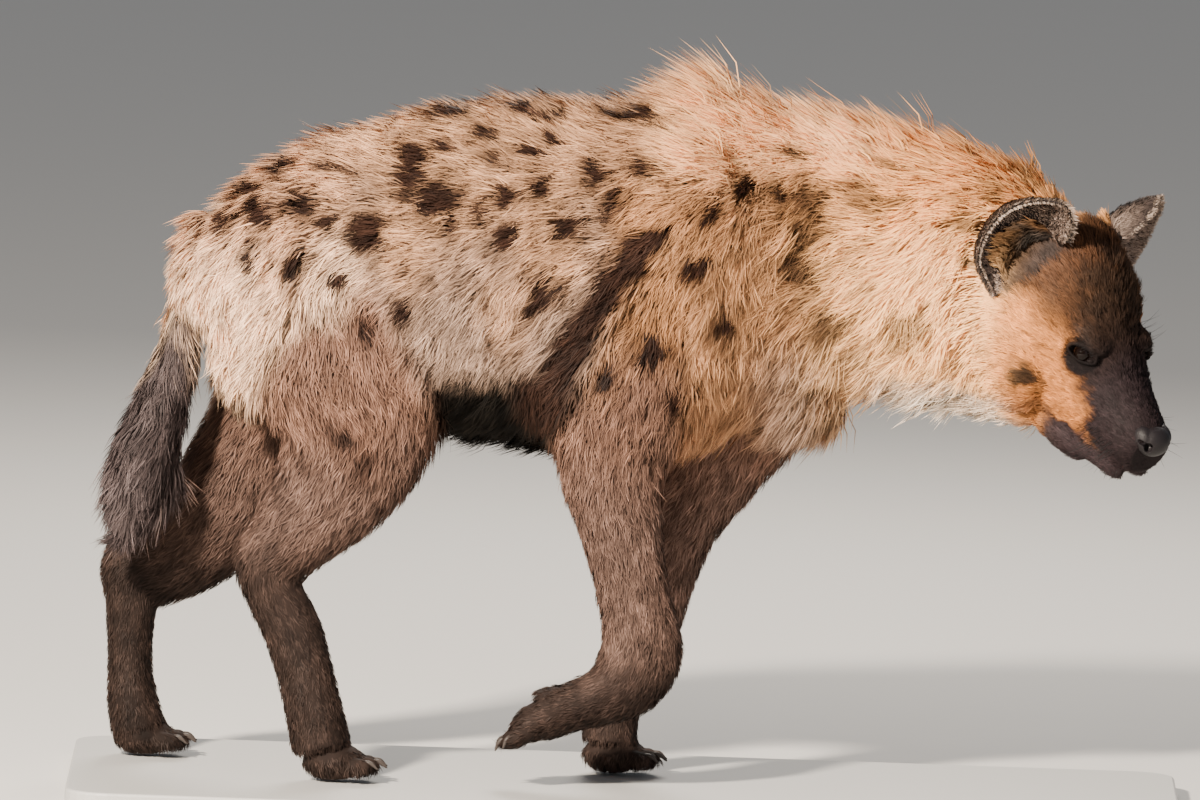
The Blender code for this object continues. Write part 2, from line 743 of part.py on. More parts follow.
def join_locks(node, group, solver):
    """Fuse a node with its locks by one union, and remove the loose ones."""
    union = node.modifiers.new("locks", "BOOLEAN")
    union.operation = "UNION"
    union.operand_type = "COLLECTION"
    union.collection = group
    union.solver = solver
    settle(node)
    for lock in list(group.objects):
        bpy.data.objects.remove(lock, do_unlink=True)
    keep_largest(node)


def leg_cutters(name, outline, side, group):
    """The outer and inner solids that part a leg from the trunk."""
    low, high = sorted((side * LEG_INNER, side * LEG_OUTER))
    outer = prism(name + "_outer", outline, low, high, group)
    low, high = sorted((side * (LEG_INNER + SEAM_GAP), side * (LEG_OUTER - SEAM_GAP)))
    inner = prism(name + "_inner", inset_outline(outline, SEAM_GAP), low, high, group)
    return outer, inner


def make_trunk_and_legs(share, parts, tools):
    """Model trunk, neck and legs as one form and part it with thin cuts."""
    form = bmesh.new()
    add_trunk(form, share)
    add_limb(form, NECK, share)
    add_limb(form, TAIL[:3], share)
    add_head(form, share)
    for rows in LEG_ROWS.values():
        add_limb(form, rows, share)
    body = fuse("body", form, tools, BODY_CELL, BODY_FACES)
    surface = BVHTree.FromObject(body, bpy.context.evaluated_depsgraph_get())

    nodes = {}
    for name, outline, side in LEG_CUTS:
        outer, inner = leg_cutters(name, outline, side, tools)
        leg = copy_of(body, name, parts)
        cut(leg, inner, "INTERSECT")
        keep_largest(leg)
        nodes[name] = leg
        cut(body, outer, "DIFFERENCE")

    neck = copy_of(body, "neck", parts)
    cut(neck, half_space("neck_side", NECK_SEAM, 0.5 * SEAM_GAP, tools), "INTERSECT")
    cut(neck, half_space("head_side", HEAD_SEAM, -0.5 * SEAM_GAP, tools), "DIFFERENCE")
    keep_largest(neck)
    nodes["neck"] = neck

    torso = copy_of(body, "torso", parts)
    cut(torso, half_space("trunk_side", NECK_SEAM, -0.5 * SEAM_GAP, tools), "DIFFERENCE")
    nodes["torso"] = torso
    bpy.data.objects.remove(body, do_unlink=True)
    return nodes, surface


def make_tail(share, parts, tools):
    """Tail with its brush, cut from the rump at a plane."""
    form = bmesh.new()
    add_limb(form, TAIL, share)
    tail = fuse("tail", form, parts, PAW_CELL, TAIL_FACES, 2)
    cut(tail, half_space("tail_side", TAIL_SEAM, 0.0, tools), "INTERSECT")
    keep_largest(tail)
    return tail


def mouth_points(surface):
    """The line between the lips, on the surface of the head, from corner to corner."""
    points = []
    corner_forward, corner_up = MOUTH_CORNER
    front_forward, front_up = MOUTH_FRONT
    pivot = front_forward - 0.035
    places = []
    for step in range(5):
        t = step / 5.0
        forward = corner_forward + (pivot - corner_forward) * t
        places.append((forward, 90.0, corner_up + (front_up - corner_up) * t))
    for angle in range(90, -91, -15):
        places.append((pivot, float(angle), front_up))
    for step in range(5):
        t = (step + 1) / 5.0
        forward = pivot + (corner_forward - pivot) * t
        places.append((forward, -90.0, front_up + (corner_up - front_up) * t))
    for forward, angle, up in places:
        inside = head_point(forward, 0.0, up)
        turn = math.radians(angle)
        out = HEAD_FORWARD * math.cos(turn) + HEAD_LEFT * math.sin(turn)
        start = inside + out * 0.15
        hit = surface.ray_cast(start, -out)[0]
        if hit is not None:
            points.append(hit)
    return points


def tube_along(name, points, radius, group):
    """A thin closed tube through points, as a mesh."""
    curve = bpy.data.curves.new(name, "CURVE")
    curve.dimensions = "3D"
    curve.bevel_depth = radius
    curve.bevel_resolution = 1
    curve.use_fill_caps = True
    spline = curve.splines.new("POLY")
    spline.points.add(len(points) - 1)
    for target, point in zip(spline.points, points):
        target.co = (*point, 1.0)
    source = bpy.data.objects.new(name, curve)
    group.objects.link(source)
    depsgraph = bpy.context.evaluated_depsgraph_get()
    mesh = bpy.data.meshes.new_from_object(source.evaluated_get(depsgraph))
    form = bmesh.new()
    form.from_mesh(mesh)
    bmesh.ops.remove_doubles(form, verts=form.verts, dist=0.00001)
    bpy.data.objects.remove(source, do_unlink=True)
    return as_cutter(new_object(name + "_solid", form, group))


def make_head(share, parts, tools):
    """Head with lids, the line of the mouth and sockets for the eyes and nose."""
    form = bmesh.new()
    add_head(form, share)
    add_limb(form, NECK[-4:], share)
    for side in (1.0, -1.0):
        add_lids(form, side)
    head = fuse("head", form, parts, HEAD_CELL, HEAD_FACES, 4)
    cut(head, half_space("face_side", HEAD_SEAM, 0.5 * SEAM_GAP, tools), "INTERSECT")

    surface = BVHTree.FromObject(head, bpy.context.evaluated_depsgraph_get())
    groove = tube_along("mouth_line", mouth_points(surface), MOUTH_DEEP, tools)
    cut(head, groove, "DIFFERENCE")
    return head


def make_eye(name, side, parts):
    """One eyeball."""
    middle = eye_axes(side)[0]
    form = bmesh.new()
    place = Matrix.Translation(middle)
    bmesh.ops.create_icosphere(form, subdivisions=2, radius=EYE_RADIUS, matrix=place)
    return new_object(name, form, parts)


def make_nose(parts, tools):
    """Bare nose pad with its two nostrils."""
    form = bmesh.new()
    add_ball(form, head_point(*NOSE_AT), NOSE_RADII, 0.0, head_turn())
    nose = fuse("nose", form, parts, 0.003, 220, 1)
    for side, word in ((1.0, "left"), (-1.0, "right")):
        form = bmesh.new()
        forward, left, up = NOSTRIL_AT
        add_ball(form, head_point(forward, side * left, up), NOSTRIL_RADII, 0.0, head_turn())
        hole = as_cutter(new_object("nostril_" + word, form, tools))
        thin_out(hole, 80)
        cut(nose, hole, "DIFFERENCE")
    return nose


def ear_grid(side, steps, levels):
    """Points of one ear as a bowl between its foot in the head and its rim."""
    rim = smooth_rows(FAR_EAR_RIM if side > 0.0 else EAR_RIM, steps)
    foot = smooth_rows(EAR_FOOT, steps)
    grid = []
    for column, (edge, base) in enumerate(zip(rim, foot)):
        bulge = EAR_CUPS[side] * math.sin(math.pi * column / (len(rim) - 1)) ** EAR_ROUND_ACROSS
        line = []
        for level in range(levels + 1):
            t = level / levels
            forward, left, up = (b + (e - b) * t for b, e in zip(base, edge))
            push = bulge * math.sin(math.pi * t) ** EAR_ROUND_ALONG
            forward += EAR_BULGE[0] * push
            left += EAR_BULGE[1] * push
            up += EAR_BULGE[2] * push
            line.append(head_point(forward, left * side, up))
        grid.append(line)
    return grid


def make_ear(name, side, parts):
    """A round ear as a thin cup that opens forward and outward."""
    form = bmesh.new()
    grid = []
    for line in ear_grid(side, EAR_STEPS, EAR_LEVELS):
        grid.append([form.verts.new(point) for point in line])
    for one, other in zip(grid, grid[1:]):
        for level in range(EAR_LEVELS):
            corners = (one[level], other[level], other[level + 1], one[level + 1])
            form.faces.new(corners if side > 0.0 else corners[::-1])
    ear = new_object(name, form, parts)
    shell = ear.modifiers.new("shell", "SOLIDIFY")
    shell.thickness = EAR_THICK
    shell.offset = 0.0
    settle(ear)
    return ear


def add_toes(form, middle, forward, up, across, share):
    """The toes of one paw, side by side."""
    for index in range(TOES):
        place = index - 0.5 * (TOES - 1)
        outer = abs(place) > 1.0
        reach = 0.030 if outer else 0.040
        centre = middle + forward * reach + across * place * TOE_SPREAD + up * -0.004
        splay = Matrix.Rotation(place * 0.13, 3, up)
        direction = splay @ forward
        turn = Matrix((direction, up.cross(direction), up)).transposed().to_4x4()
        add_ball(form, centre, TOE_RADII, 0.001 * (1.0 - share), turn)


def claw_places(middle, forward, up, across):
    """Root and direction of each claw of a paw."""
    places = []
    for index in range(TOES):
        place = index - 0.5 * (TOES - 1)
        reach = 0.044 if abs(place) > 1.0 else 0.054
        direction = (Matrix.Rotation(place * 0.13, 3, up) @ forward - up * 0.35).normalized()
        root = middle + forward * reach + across * place * (TOE_SPREAD + 0.0012) + up * -0.001
        places.append((root, direction))
    return places


def make_paw(name, leg_rows, middle, forward, up, seam, share, parts, tools):
    """One paw: pads and toes fused with the end of its leg, with its claws."""
    across = up.cross(forward)
    form = bmesh.new()
    add_limb(form, leg_rows, share)
    turn = Matrix((forward, across, up)).transposed().to_4x4()
    add_ball(form, middle + forward * 0.004, (0.038, 0.034, 0.024), 0.0, turn)
    add_toes(form, middle, forward, up, across, share)
    paw = fuse(name, form, parts, PAW_CELL, PAW_FACES, 2)
    cut(paw, half_space(name + "_side", seam, 0.5 * SEAM_GAP, tools), "INTERSECT")
    for index, (root, direction) in enumerate(claw_places(middle, forward, up, across)):
        form = bmesh.new()
        claw_turn = direction.to_track_quat("Z", "Y").to_matrix().to_4x4()
        place = Matrix.Translation(root + direction * 0.5 * CLAW_LENGTH - direction * 0.006)
        bmesh.ops.create_cone(
            form, cap_ends=True, segments=6, radius1=CLAW_RADIUS, radius2=0.0012,
            depth=CLAW_LENGTH, matrix=place @ claw_turn,
        )
        claw = as_cutter(new_object(name + "_claw_" + str(index), form, tools))
        cut(paw, claw, "UNION")
    return paw


def make_base(parts):
    """The flat display base."""
    form = bmesh.new()
    bmesh.ops.create_cube(form, size=1.0)
    bmesh.ops.scale(form, vec=(BASE_LENGTH, BASE_WIDTH, BASE_THICK), verts=form.verts)
    bmesh.ops.translate(form, vec=(0.0, 0.0, 0.5 * BASE_THICK), verts=form.verts)
    uprights = [
        edge for edge in form.edges
        if abs(edge.verts[0].co.z - edge.verts[1].co.z) > 0.5 * BASE_THICK
    ]
    bmesh.ops.bevel(
        form, geom=uprights, offset=BASE_CORNER, segments=6, profile=0.5, affect="EDGES",
    )
    rim = [
        edge for edge in form.edges
        if edge.verts[0].co.z > 0.9 * BASE_THICK and edge.verts[1].co.z > 0.9 * BASE_THICK
    ]
    bmesh.ops.bevel(form, geom=rim, offset=BASE_EDGE, segments=2, profile=0.5, affect="EDGES")
    return new_object("stand_base", form, parts)


def floor_flat(obj, tools):
    """Cut the soles flat at the level of the ground."""
    ground = half_space(obj.name + "_ground", (Vector((0.0, 0.0, 0.0)), Vector((0.0, 0.0, -1.0))),
                        0.0, tools)
    cut(obj, ground, "DIFFERENCE")


def paint(obj, colour, roughness):
    """Give an object its own material."""
    material = bpy.data.materials.new(obj.name + "_finish")
    material.use_nodes = True
    shader = material.node_tree.nodes["Principled BSDF"]
    shader.inputs["Base Color"].default_value = colour
    shader.inputs["Roughness"].default_value = roughness
    shader.inputs["Metallic"].default_value = 0.0
    obj.data.materials.clear()
    obj.data.materials.append(material)


LOCK_SOLVER = "EXACT"
LEG_ROWS = {
    "hindleg_right": HIND_RIGHT,
    "hindleg_left": HIND_LEFT,
    "foreleg_right": FORE_RIGHT,
    "foreleg_left": FORE_LEFT,
}
LEG_CUTS = (
    ("hindleg_right", HIND_RIGHT_CUT, -1.0),
    ("hindleg_left", HIND_LEFT_CUT, 1.0),
    ("foreleg_right", FORE_RIGHT_CUT, -1.0),
    ("foreleg_left", FORE_LEFT_CUT, 1.0),
)
DOWN = Vector((0.0, 0.0, -1.0))
UP = Vector((0.0, 0.0, 1.0))
AHEAD = Vector((1.0, 0.0, 0.0))
FOLDED_AHEAD = Vector((-0.86, 0.0, -0.51)).normalized()
FOLDED_UP = Vector((-0.51, 0.0, 0.86)).normalized()
# Each paw: its leg, middle, forward, up, and the plane where it leaves the leg
PAWS = {
    "hindpaw_right": ("hindleg_right", Vector((-0.345, -0.087, 0.024)), AHEAD, UP,
                      (Vector((-0.37, -0.087, 0.080)), Vector((0.25, 0.0, -0.97)))),
    "hindpaw_left": ("hindleg_left", Vector((-0.572, 0.098, 0.024)), AHEAD, UP,
                     (Vector((-0.583, 0.098, 0.075)), Vector((0.10, 0.0, -0.99)))),
    "forepaw_right": ("foreleg_right", Vector((-0.098, -0.087, 0.082)), FOLDED_AHEAD, FOLDED_UP,
                      (Vector((-0.052, -0.087, 0.100)), Vector((-0.94, 0.0, -0.34)))),
    "forepaw_left": ("foreleg_left", Vector((-0.018, 0.075, 0.024)), AHEAD, UP,
                     (Vector((-0.008, 0.075, 0.082)), Vector((-0.15, 0.0, -0.99)))),
}
FINISHES = {
    "torso": (TAN, 0.9), "neck": (GOLD, 0.9), "head": (GOLD, 0.9), "tail": (DARK, 0.9),
    "hindleg_right": (BROWN, 0.9), "hindleg_left": (BROWN, 0.9),
    "foreleg_right": (BROWN, 0.9), "foreleg_left": (BROWN, 0.9),
    "hindpaw_right": (BROWN, 0.9), "hindpaw_left": (BROWN, 0.9),
    "forepaw_right": (BROWN, 0.9), "forepaw_left": (BROWN, 0.9),
    "ear_right": (BROWN, 0.9), "ear_left": (BROWN, 0.9),
    "eye_right": (EYE_BLACK, 0.1), "eye_left": (EYE_BLACK, 0.1),
    "nose": (NOSE_BLACK, 0.4), "stand_base": (GREY, 0.6),
}


def build():
    """Make every node of the animal and its base."""
    clear_scene()
    parts = new_collection("spotted_hyena")
    tools = new_collection("cutters")
    share = CORE_SHARE

    nodes, surface = make_trunk_and_legs(share, parts, tools)
    nodes["tail"] = make_tail(share, parts, tools)
    nodes["head"] = make_head(1.0, parts, tools)
    nodes["nose"] = make_nose(parts, tools)
    for side, word in ((1.0, "left"), (-1.0, "right")):
        nodes["eye_" + word] = make_eye("eye_" + word, side, parts)
        nodes["ear_" + word] = make_ear("ear_" + word, side, parts)
    for name, (leg, middle, forward, up, seam) in PAWS.items():
        rows = LEG_ROWS[leg][-4:]
        nodes[name] = make_paw(name, rows, middle, forward, up, seam, 1.0, parts, tools)
        cut(nodes[leg], half_space(leg + "_end", seam, -0.5 * SEAM_GAP, tools), "DIFFERENCE")
        keep_largest(nodes[leg])
        floor_flat(nodes[name], tools)

    draw = random.Random(LOCK_SEED)
    locks = new_collection("locks")
    coat_locks("torso", TORSO_LOCKS, nodes["torso"], surface, draw, locks)
    join_locks(nodes["torso"], locks, LOCK_SOLVER)
    coat_locks("neck", NECK_LOCKS, nodes["neck"], surface, draw, locks)
    join_locks(nodes["neck"], locks, LOCK_SOLVER)
    tail_locks(nodes["tail"], draw, locks)
    join_locks(nodes["tail"], locks, LOCK_SOLVER)

    for other in ("neck", "tail", *LEG_ROWS):
        carve_clear(nodes["torso"], nodes[other], tools)
    for leg in ("hindleg_right", "hindleg_left"):
        carve_clear(nodes[leg], nodes["tail"], tools)
    carve_clear(nodes["neck"], nodes["head"], tools)
    carve_clear(nodes["head"], nodes["nose"], tools)
    for word in ("left", "right"):
        carve_clear(nodes["head"], nodes["eye_" + word], tools)
    keep_largest(nodes["head"])
    for word in ("left", "right"):
        carve_clear(nodes["ear_" + word], nodes["head"], tools)
        carve_clear(nodes["ear_" + word], nodes["neck"], tools)

    nodes["stand_base"] = make_base(parts)
    for name, node in nodes.items():
        keep_largest(node)
        if name != "stand_base":
            node.location.z = STAND
        node.data.shade_smooth()
        paint(node, *FINISHES[name])


build()
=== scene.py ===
"""Looks of a still, life-size spotted hyena: one skin, its coat, eyes, nose and claws."""
import math

import bmesh
import bpy
import numpy as np
from mathutils import Matrix, Vector
from mathutils.kdtree import KDTree


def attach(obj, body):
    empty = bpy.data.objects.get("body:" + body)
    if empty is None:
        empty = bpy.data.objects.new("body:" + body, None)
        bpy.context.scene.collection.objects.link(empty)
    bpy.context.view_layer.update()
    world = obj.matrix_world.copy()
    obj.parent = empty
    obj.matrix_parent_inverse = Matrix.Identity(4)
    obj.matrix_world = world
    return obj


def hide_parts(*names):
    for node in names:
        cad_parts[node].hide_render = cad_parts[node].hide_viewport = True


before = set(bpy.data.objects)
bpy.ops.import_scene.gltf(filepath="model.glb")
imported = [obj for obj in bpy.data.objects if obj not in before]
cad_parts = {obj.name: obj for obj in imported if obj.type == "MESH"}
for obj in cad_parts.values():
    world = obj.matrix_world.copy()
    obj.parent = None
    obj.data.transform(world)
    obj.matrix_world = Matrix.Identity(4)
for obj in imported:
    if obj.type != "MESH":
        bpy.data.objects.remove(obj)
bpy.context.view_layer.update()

# Sizes shared with the solids, in metres; +X is where the body points, +Y its left, +Z up
BASE_THICK = 0.02
TOUCH_GAP = 0.0003
STAND = BASE_THICK + TOUCH_GAP
FLOOR_LEVEL = 0.0012
SKIN_SHARE = 0.62
LEG_SHARE = 0.35
TOP_SHARE = 1.0
TOP_FROM = 0.5
TOP_UNTIL = 0.62
BODY_CELL = 0.0048
HEAD_CELL = 0.002
PAW_CELL = 0.0022
NOSE_CELL = 0.0011
RING_SIDES = 40
STEPS_PER_ROW = 6
SIDES = (1.0, -1.0)

# The head's place and the directions in which it points
ATLAS = Vector((0.45, -0.07, 0.6))
HEAD_FORWARD = Vector((0.542, -0.64, -0.545)).normalized()
HEAD_UP = HEAD_FORWARD.cross(Vector((0.76, 0.65, 0.06))).normalized()
HEAD_LEFT = HEAD_UP.cross(HEAD_FORWARD).normalized()

# Each row of the trunk: x, top, underside, half width, depth of coat
TORSO = (
    (-0.534, 0.602, 0.56, 0.03, 0.02),
    (-0.506, 0.64, 0.51, 0.068, 0.025),
    (-0.46, 0.695, 0.465, 0.1, 0.03),
    (-0.4, 0.735, 0.44, 0.118, 0.035),
    (-0.3, 0.769, 0.42, 0.132, 0.038),
    (-0.2, 0.795, 0.402, 0.143, 0.038),
    (-0.1, 0.8, 0.388, 0.15, 0.04),
    (0.0, 0.8, 0.384, 0.15, 0.04),
    (0.08, 0.812, 0.398, 0.138, 0.045),
    (0.14, 0.8, 0.43, 0.122, 0.05),
    (0.2, 0.79, 0.47, 0.108, 0.05),
)
TRUNK_ROWS = [
    (x, 0.0, 0.5 * (top + under), wide, 0.5 * (top - under), coat)
    for x, top, under, wide, coat in TORSO
]

# Each row of the neck: x, y, z of its middle, half width, half depth, depth of coat
NECK = (
    (0.06, 0.0, 0.6, 0.125, 0.19, 0.05),
    (0.16, 0.0, 0.615, 0.116, 0.178, 0.055),
    (0.25, -0.004, 0.632, 0.104, 0.156, 0.055),
    (0.325, -0.02, 0.616, 0.098, 0.15, 0.05),
    (0.39, -0.04, 0.606, 0.094, 0.152, 0.04),
    (0.45, -0.07, 0.575, 0.088, 0.126, 0.025),
    (0.49, -0.11, 0.566, 0.08, 0.102, 0.015),
)

# Each row of a leg: x, y, z of its middle, half width, half depth, depth of coat
HIND_RIGHT = (
    (-0.35, -0.07, 0.6, 0.05, 0.1, 0.02),
    (-0.342, -0.086, 0.49, 0.054, 0.112, 0.022),
    (-0.328, -0.094, 0.415, 0.05, 0.096, 0.018),
    (-0.354, -0.092, 0.345, 0.043, 0.074, 0.012),
    (-0.392, -0.089, 0.293, 0.037, 0.053, 0.01),
    (-0.422, -0.086, 0.254, 0.031, 0.043, 0.008),
    (-0.416, -0.085, 0.22, 0.028, 0.036, 0.007),
    (-0.393, -0.085, 0.172, 0.027, 0.036, 0.006),
    (-0.376, -0.086, 0.12, 0.03, 0.034, 0.006),
    (-0.364, -0.087, 0.075, 0.034, 0.035, 0.006),
    (-0.356, -0.087, 0.04, 0.036, 0.036, 0.005),
)
HIND_LEFT = (
    (-0.355, 0.07, 0.59, 0.05, 0.1, 0.02),
    (-0.385, 0.086, 0.47, 0.054, 0.106, 0.022),
    (-0.43, 0.094, 0.38, 0.048, 0.084, 0.018),
    (-0.488, 0.097, 0.29, 0.042, 0.072, 0.012),
    (-0.541, 0.098, 0.241, 0.036, 0.06, 0.01),
    (-0.579, 0.098, 0.222, 0.031, 0.048, 0.008),
    (-0.585, 0.098, 0.19, 0.028, 0.035, 0.007),
    (-0.587, 0.098, 0.135, 0.026, 0.028, 0.006),
    (-0.585, 0.098, 0.09, 0.028, 0.028, 0.006),
    (-0.581, 0.098, 0.06, 0.033, 0.031, 0.006),
    (-0.574, 0.098, 0.034, 0.035, 0.033, 0.005),
)
FORE_RIGHT = (
    (0.03, -0.085, 0.6, 0.046, 0.105, 0.022),
    (-0.012, -0.096, 0.47, 0.05, 0.086, 0.02),
    (-0.027, -0.096, 0.385, 0.045, 0.066, 0.016),
    (-0.016, -0.093, 0.315, 0.038, 0.051, 0.012),
    (-0.003, -0.09, 0.255, 0.034, 0.045, 0.01),
    (0.009, -0.088, 0.205, 0.033, 0.045, 0.008),
    (0.014, -0.087, 0.165, 0.034, 0.05, 0.007),
    (-0.002, -0.087, 0.13, 0.034, 0.046, 0.006),
    (-0.034, -0.087, 0.108, 0.033, 0.034, 0.006),
    (-0.066, -0.087, 0.096, 0.034, 0.03, 0.006),
    (-0.098, -0.087, 0.086, 0.036, 0.032, 0.005),
)
FORE_LEFT = (
    (0.08, 0.08, 0.6, 0.046, 0.1, 0.022),
    (0.118, 0.086, 0.47, 0.05, 0.098, 0.02),
    (0.094, 0.083, 0.385, 0.044, 0.072, 0.016),
    (0.062, 0.079, 0.305, 0.037, 0.045, 0.012),
    (0.042, 0.076, 0.245, 0.033, 0.038, 0.01),
    (0.024, 0.075, 0.175, 0.033, 0.035, 0.008),
    (0.0, 0.075, 0.12, 0.03, 0.031, 0.006),
    (-0.016, 0.075, 0.075, 0.033, 0.032, 0.006),
    (-0.02, 0.075, 0.04, 0.036, 0.034, 0.005),
)
LEGS = (HIND_RIGHT, HIND_LEFT, FORE_RIGHT, FORE_LEFT)

# Each row of the tail: x, y, z of its middle, half width, half depth, depth of coat
TAIL = (
    (-0.49, 0.0, 0.645, 0.026, 0.03, 0.008),
    (-0.512, 0.0, 0.605, 0.026, 0.028, 0.009),
    (-0.53, 0.0, 0.55, 0.022, 0.022, 0.01),
    (-0.537, 0.0, 0.5, 0.026, 0.027, 0.016),
    (-0.551, 0.0, 0.45, 0.029, 0.031, 0.02),
    (-0.566, 0.002, 0.4, 0.032, 0.038, 0.024),
    (-0.574, 0.002, 0.355, 0.033, 0.042, 0.027),
    (-0.584, 0.002, 0.315, 0.027, 0.034, 0.024),
    (-0.594, 0.002, 0.28, 0.014, 0.017, 0.012),
    (-0.6, 0.002, 0.258, 0.006, 0.007, 0.003),
)

# Muscles that stand out of the limbs: middle, radii, turn about Y in degrees, depth of coat
MUSCLES = (
    ((0.045, -0.098, 0.62), (0.085, 0.048, 0.15), 14, 0.03),
    ((0.085, 0.098, 0.62), (0.085, 0.048, 0.15), 14, 0.03),
    ((-0.02, -0.104, 0.5), (0.09, 0.044, 0.085), 0, 0.024),
    ((0.085, 0.096, 0.5), (0.088, 0.044, 0.085), 0, 0.024),
    ((-0.365, -0.088, 0.56), (0.105, 0.05, 0.135), -12, 0.026),
    ((-0.375, 0.088, 0.56), (0.105, 0.05, 0.13), 6, 0.026),
    ((-0.452, -0.07, 0.52), (0.052, 0.036, 0.095), -10, 0.022),
    ((-0.455, 0.07, 0.52), (0.052, 0.036, 0.095), 6, 0.022),
    ((0.182, 0.0, 0.488), (0.074, 0.072, 0.062), 38, 0.03),
)

# Each row of the head: forward of the atlas, top, underside, half width, depth of coat
HEAD = (
    (-0.03, 0.1, -0.108, 0.074, 0.02),
    (0.02, 0.134, -0.117, 0.083, 0.018),
    (0.055, 0.144, -0.116, 0.086, 0.014),
    (0.095, 0.128, -0.11, 0.08, 0.01),
    (0.13, 0.1, -0.1, 0.069, 0.007),
    (0.165, 0.07, -0.09, 0.057, 0.005),
    (0.2, 0.046, -0.08, 0.046, 0.004),
    (0.232, 0.031, -0.069, 0.039, 0.003),
    (0.256, 0.022, -0.059, 0.034, 0.002),
    (0.277, 0.011, -0.047, 0.026, 0.001),
)
HEAD_NARROWS = 0.26
NARROW_UNTIL = 0.115
NARROW_FADE = 0.05

# Bulges of the head: forward, left, up, their radii, depth of coat; the right side mirrors
CHEEK = ((0.085, 0.06, -0.03), (0.062, 0.034, 0.056), 0.008)
JAW = ((0.085, 0.04, -0.08), (0.055, 0.028, 0.026), 0.008)
JAW_FRONT = ((0.155, 0.027, -0.07), (0.064, 0.023, 0.022), 0.004)
BROW = ((0.148, 0.032, 0.053), (0.032, 0.018, 0.0125), 0.002)
LIP_PAD = ((0.242, 0.02, -0.021), (0.032, 0.017, 0.022), 0.002)
LOWER_LIP = ((0.209, 0.017, -0.0585), (0.059, 0.018, 0.0158), 0.002)
CHIN = ((0.246, 0.008, -0.0465), (0.022, 0.014, 0.0125), 0.0)
HEAD_BULGES = (CHEEK, JAW, JAW_FRONT, BROW, LIP_PAD, LOWER_LIP, CHIN)

# Eye, lids, nose and mouth, all measured along the head
EYE_AT = (0.1565, 0.042, 0.04)
EYE_RADIUS = 0.0135
EYE_SHARE = 0.97
SOCKET_SHARE = 0.985
CORNEA_FROM = 0.75
CORNEA_STANDS = 0.1
EYE_LOOKS = (0.52, 0.82, 0.22)
LID_HALF_WIDTH = 0.0188
LID_HALF_HEIGHT = 0.0098
LID_THICK = 0.0027
LID_HEAVIER = 0.35
LID_LOW_SHARE = 0.85
LID_STANDS = 0.7
LID_STEPS = 40
LID_SIDES = 12
NOSE_AT = (0.2745, 0.0, -0.002)
NOSE_RADII = (0.017, 0.0215, 0.0185)
WING_AT = (0.268, 0.014, -0.001)
WING_RADII = (0.0165, 0.011, 0.015)
NOSTRIL_AT = (0.285, 0.015, -0.002)
NOSTRIL_RADII = (0.01, 0.0052, 0.0066)
SLIT_AT = (NOSTRIL_AT[0] - 0.006, NOSTRIL_AT[1] + 0.0065, 0.001)
SLIT_RADII = (0.01, 0.0046, 0.003)
MOUTH_CORNER = (0.1525, -0.06)
MOUTH_FRONT = (0.258, -0.041)
MOUTH_DEEP = 0.0022
MOUTH_ROUND = 0.035
MOUTH_SAG = 0.004
MOUTH_STEPS = 12
MOUTH_SIDES = 8

# Ear: points of its rim and of its foot, each from its rear round to its front edge, how far
# its middle bulges back, and the rim of the far ear, which is turned further out
EAR_RIM = (
    (0.031, 0.085, 0.028),
    (0.007, 0.11, 0.065),
    (0.01, 0.115, 0.123),
    (0.03, 0.102, 0.166),
    (0.062, 0.076, 0.188),
    (0.072, 0.06, 0.166),
    (0.06, 0.045, 0.126),
)
EAR_FOOT = (
    (0.036, 0.066, 0.04),
    (0.018, 0.068, 0.055),
    (0.01, 0.062, 0.08),
    (0.012, 0.052, 0.098),
    (0.024, 0.044, 0.11),
    (0.04, 0.04, 0.116),
    (0.052, 0.036, 0.114),
)
EAR_BULGE = (-0.9, 0.1, -0.1)
FAR_EAR_RIM = (
    (0.034, 0.09, 0.026),
    (0.022, 0.124, 0.064),
    (0.022, 0.127, 0.12),
    (0.037, 0.105, 0.156),
    (0.06, 0.073, 0.179),
    (0.07, 0.06, 0.162),
    (0.06, 0.046, 0.126),
)
EAR_CUPS = {-1.0: 0.026, 1.0: 0.012}
EAR_ROUND_ACROSS = 0.5
EAR_ROUND_ALONG = 0.8
EAR_THICK = 0.005
EAR_THINS = 0.35
EAR_STEPS = 6
EAR_LEVELS = 22

# Pads, toes and claws; their reach is that of the inner and then of the outer toes
PAD_RADII = (0.036, 0.032, 0.022)
TOES = 4
TOE_RADII = (0.02, 0.0105, 0.012)
TOE_SPREAD = 0.0165
TOE_REACH = (0.04, 0.03)
TOE_FANS = 0.13
TOE_COAT = 0.002
KNUCKLE_RADII = (0.016, 0.009, 0.01)
CLAW_LENGTH = 0.02
CLAW_RADIUS = 0.0036
CLAW_REACH = (0.054, 0.044)
CLAW_SINKS = 0.006
CLAW_BENDS = 0.003
CLAW_TAPERS = 0.78
CLAW_STEPS = 8
CLAW_SIDES = 12
AHEAD = Vector((1.0, 0.0, 0.0))
UP = Vector((0.0, 0.0, 1.0))
FOLDED_AHEAD = Vector((-0.86, 0.0, -0.51)).normalized()
FOLDED_UP = Vector((-0.51, 0.0, 0.86)).normalized()
PAWS = (
    ("hindpaw_right", Vector((-0.345, -0.087, 0.024)), AHEAD, UP),
    ("hindpaw_left", Vector((-0.572, 0.098, 0.024)), AHEAD, UP),
    ("forepaw_right", Vector((-0.098, -0.087, 0.082)), FOLDED_AHEAD, FOLDED_UP),
    ("forepaw_left", Vector((-0.018, 0.075, 0.024)), AHEAD, UP),
)

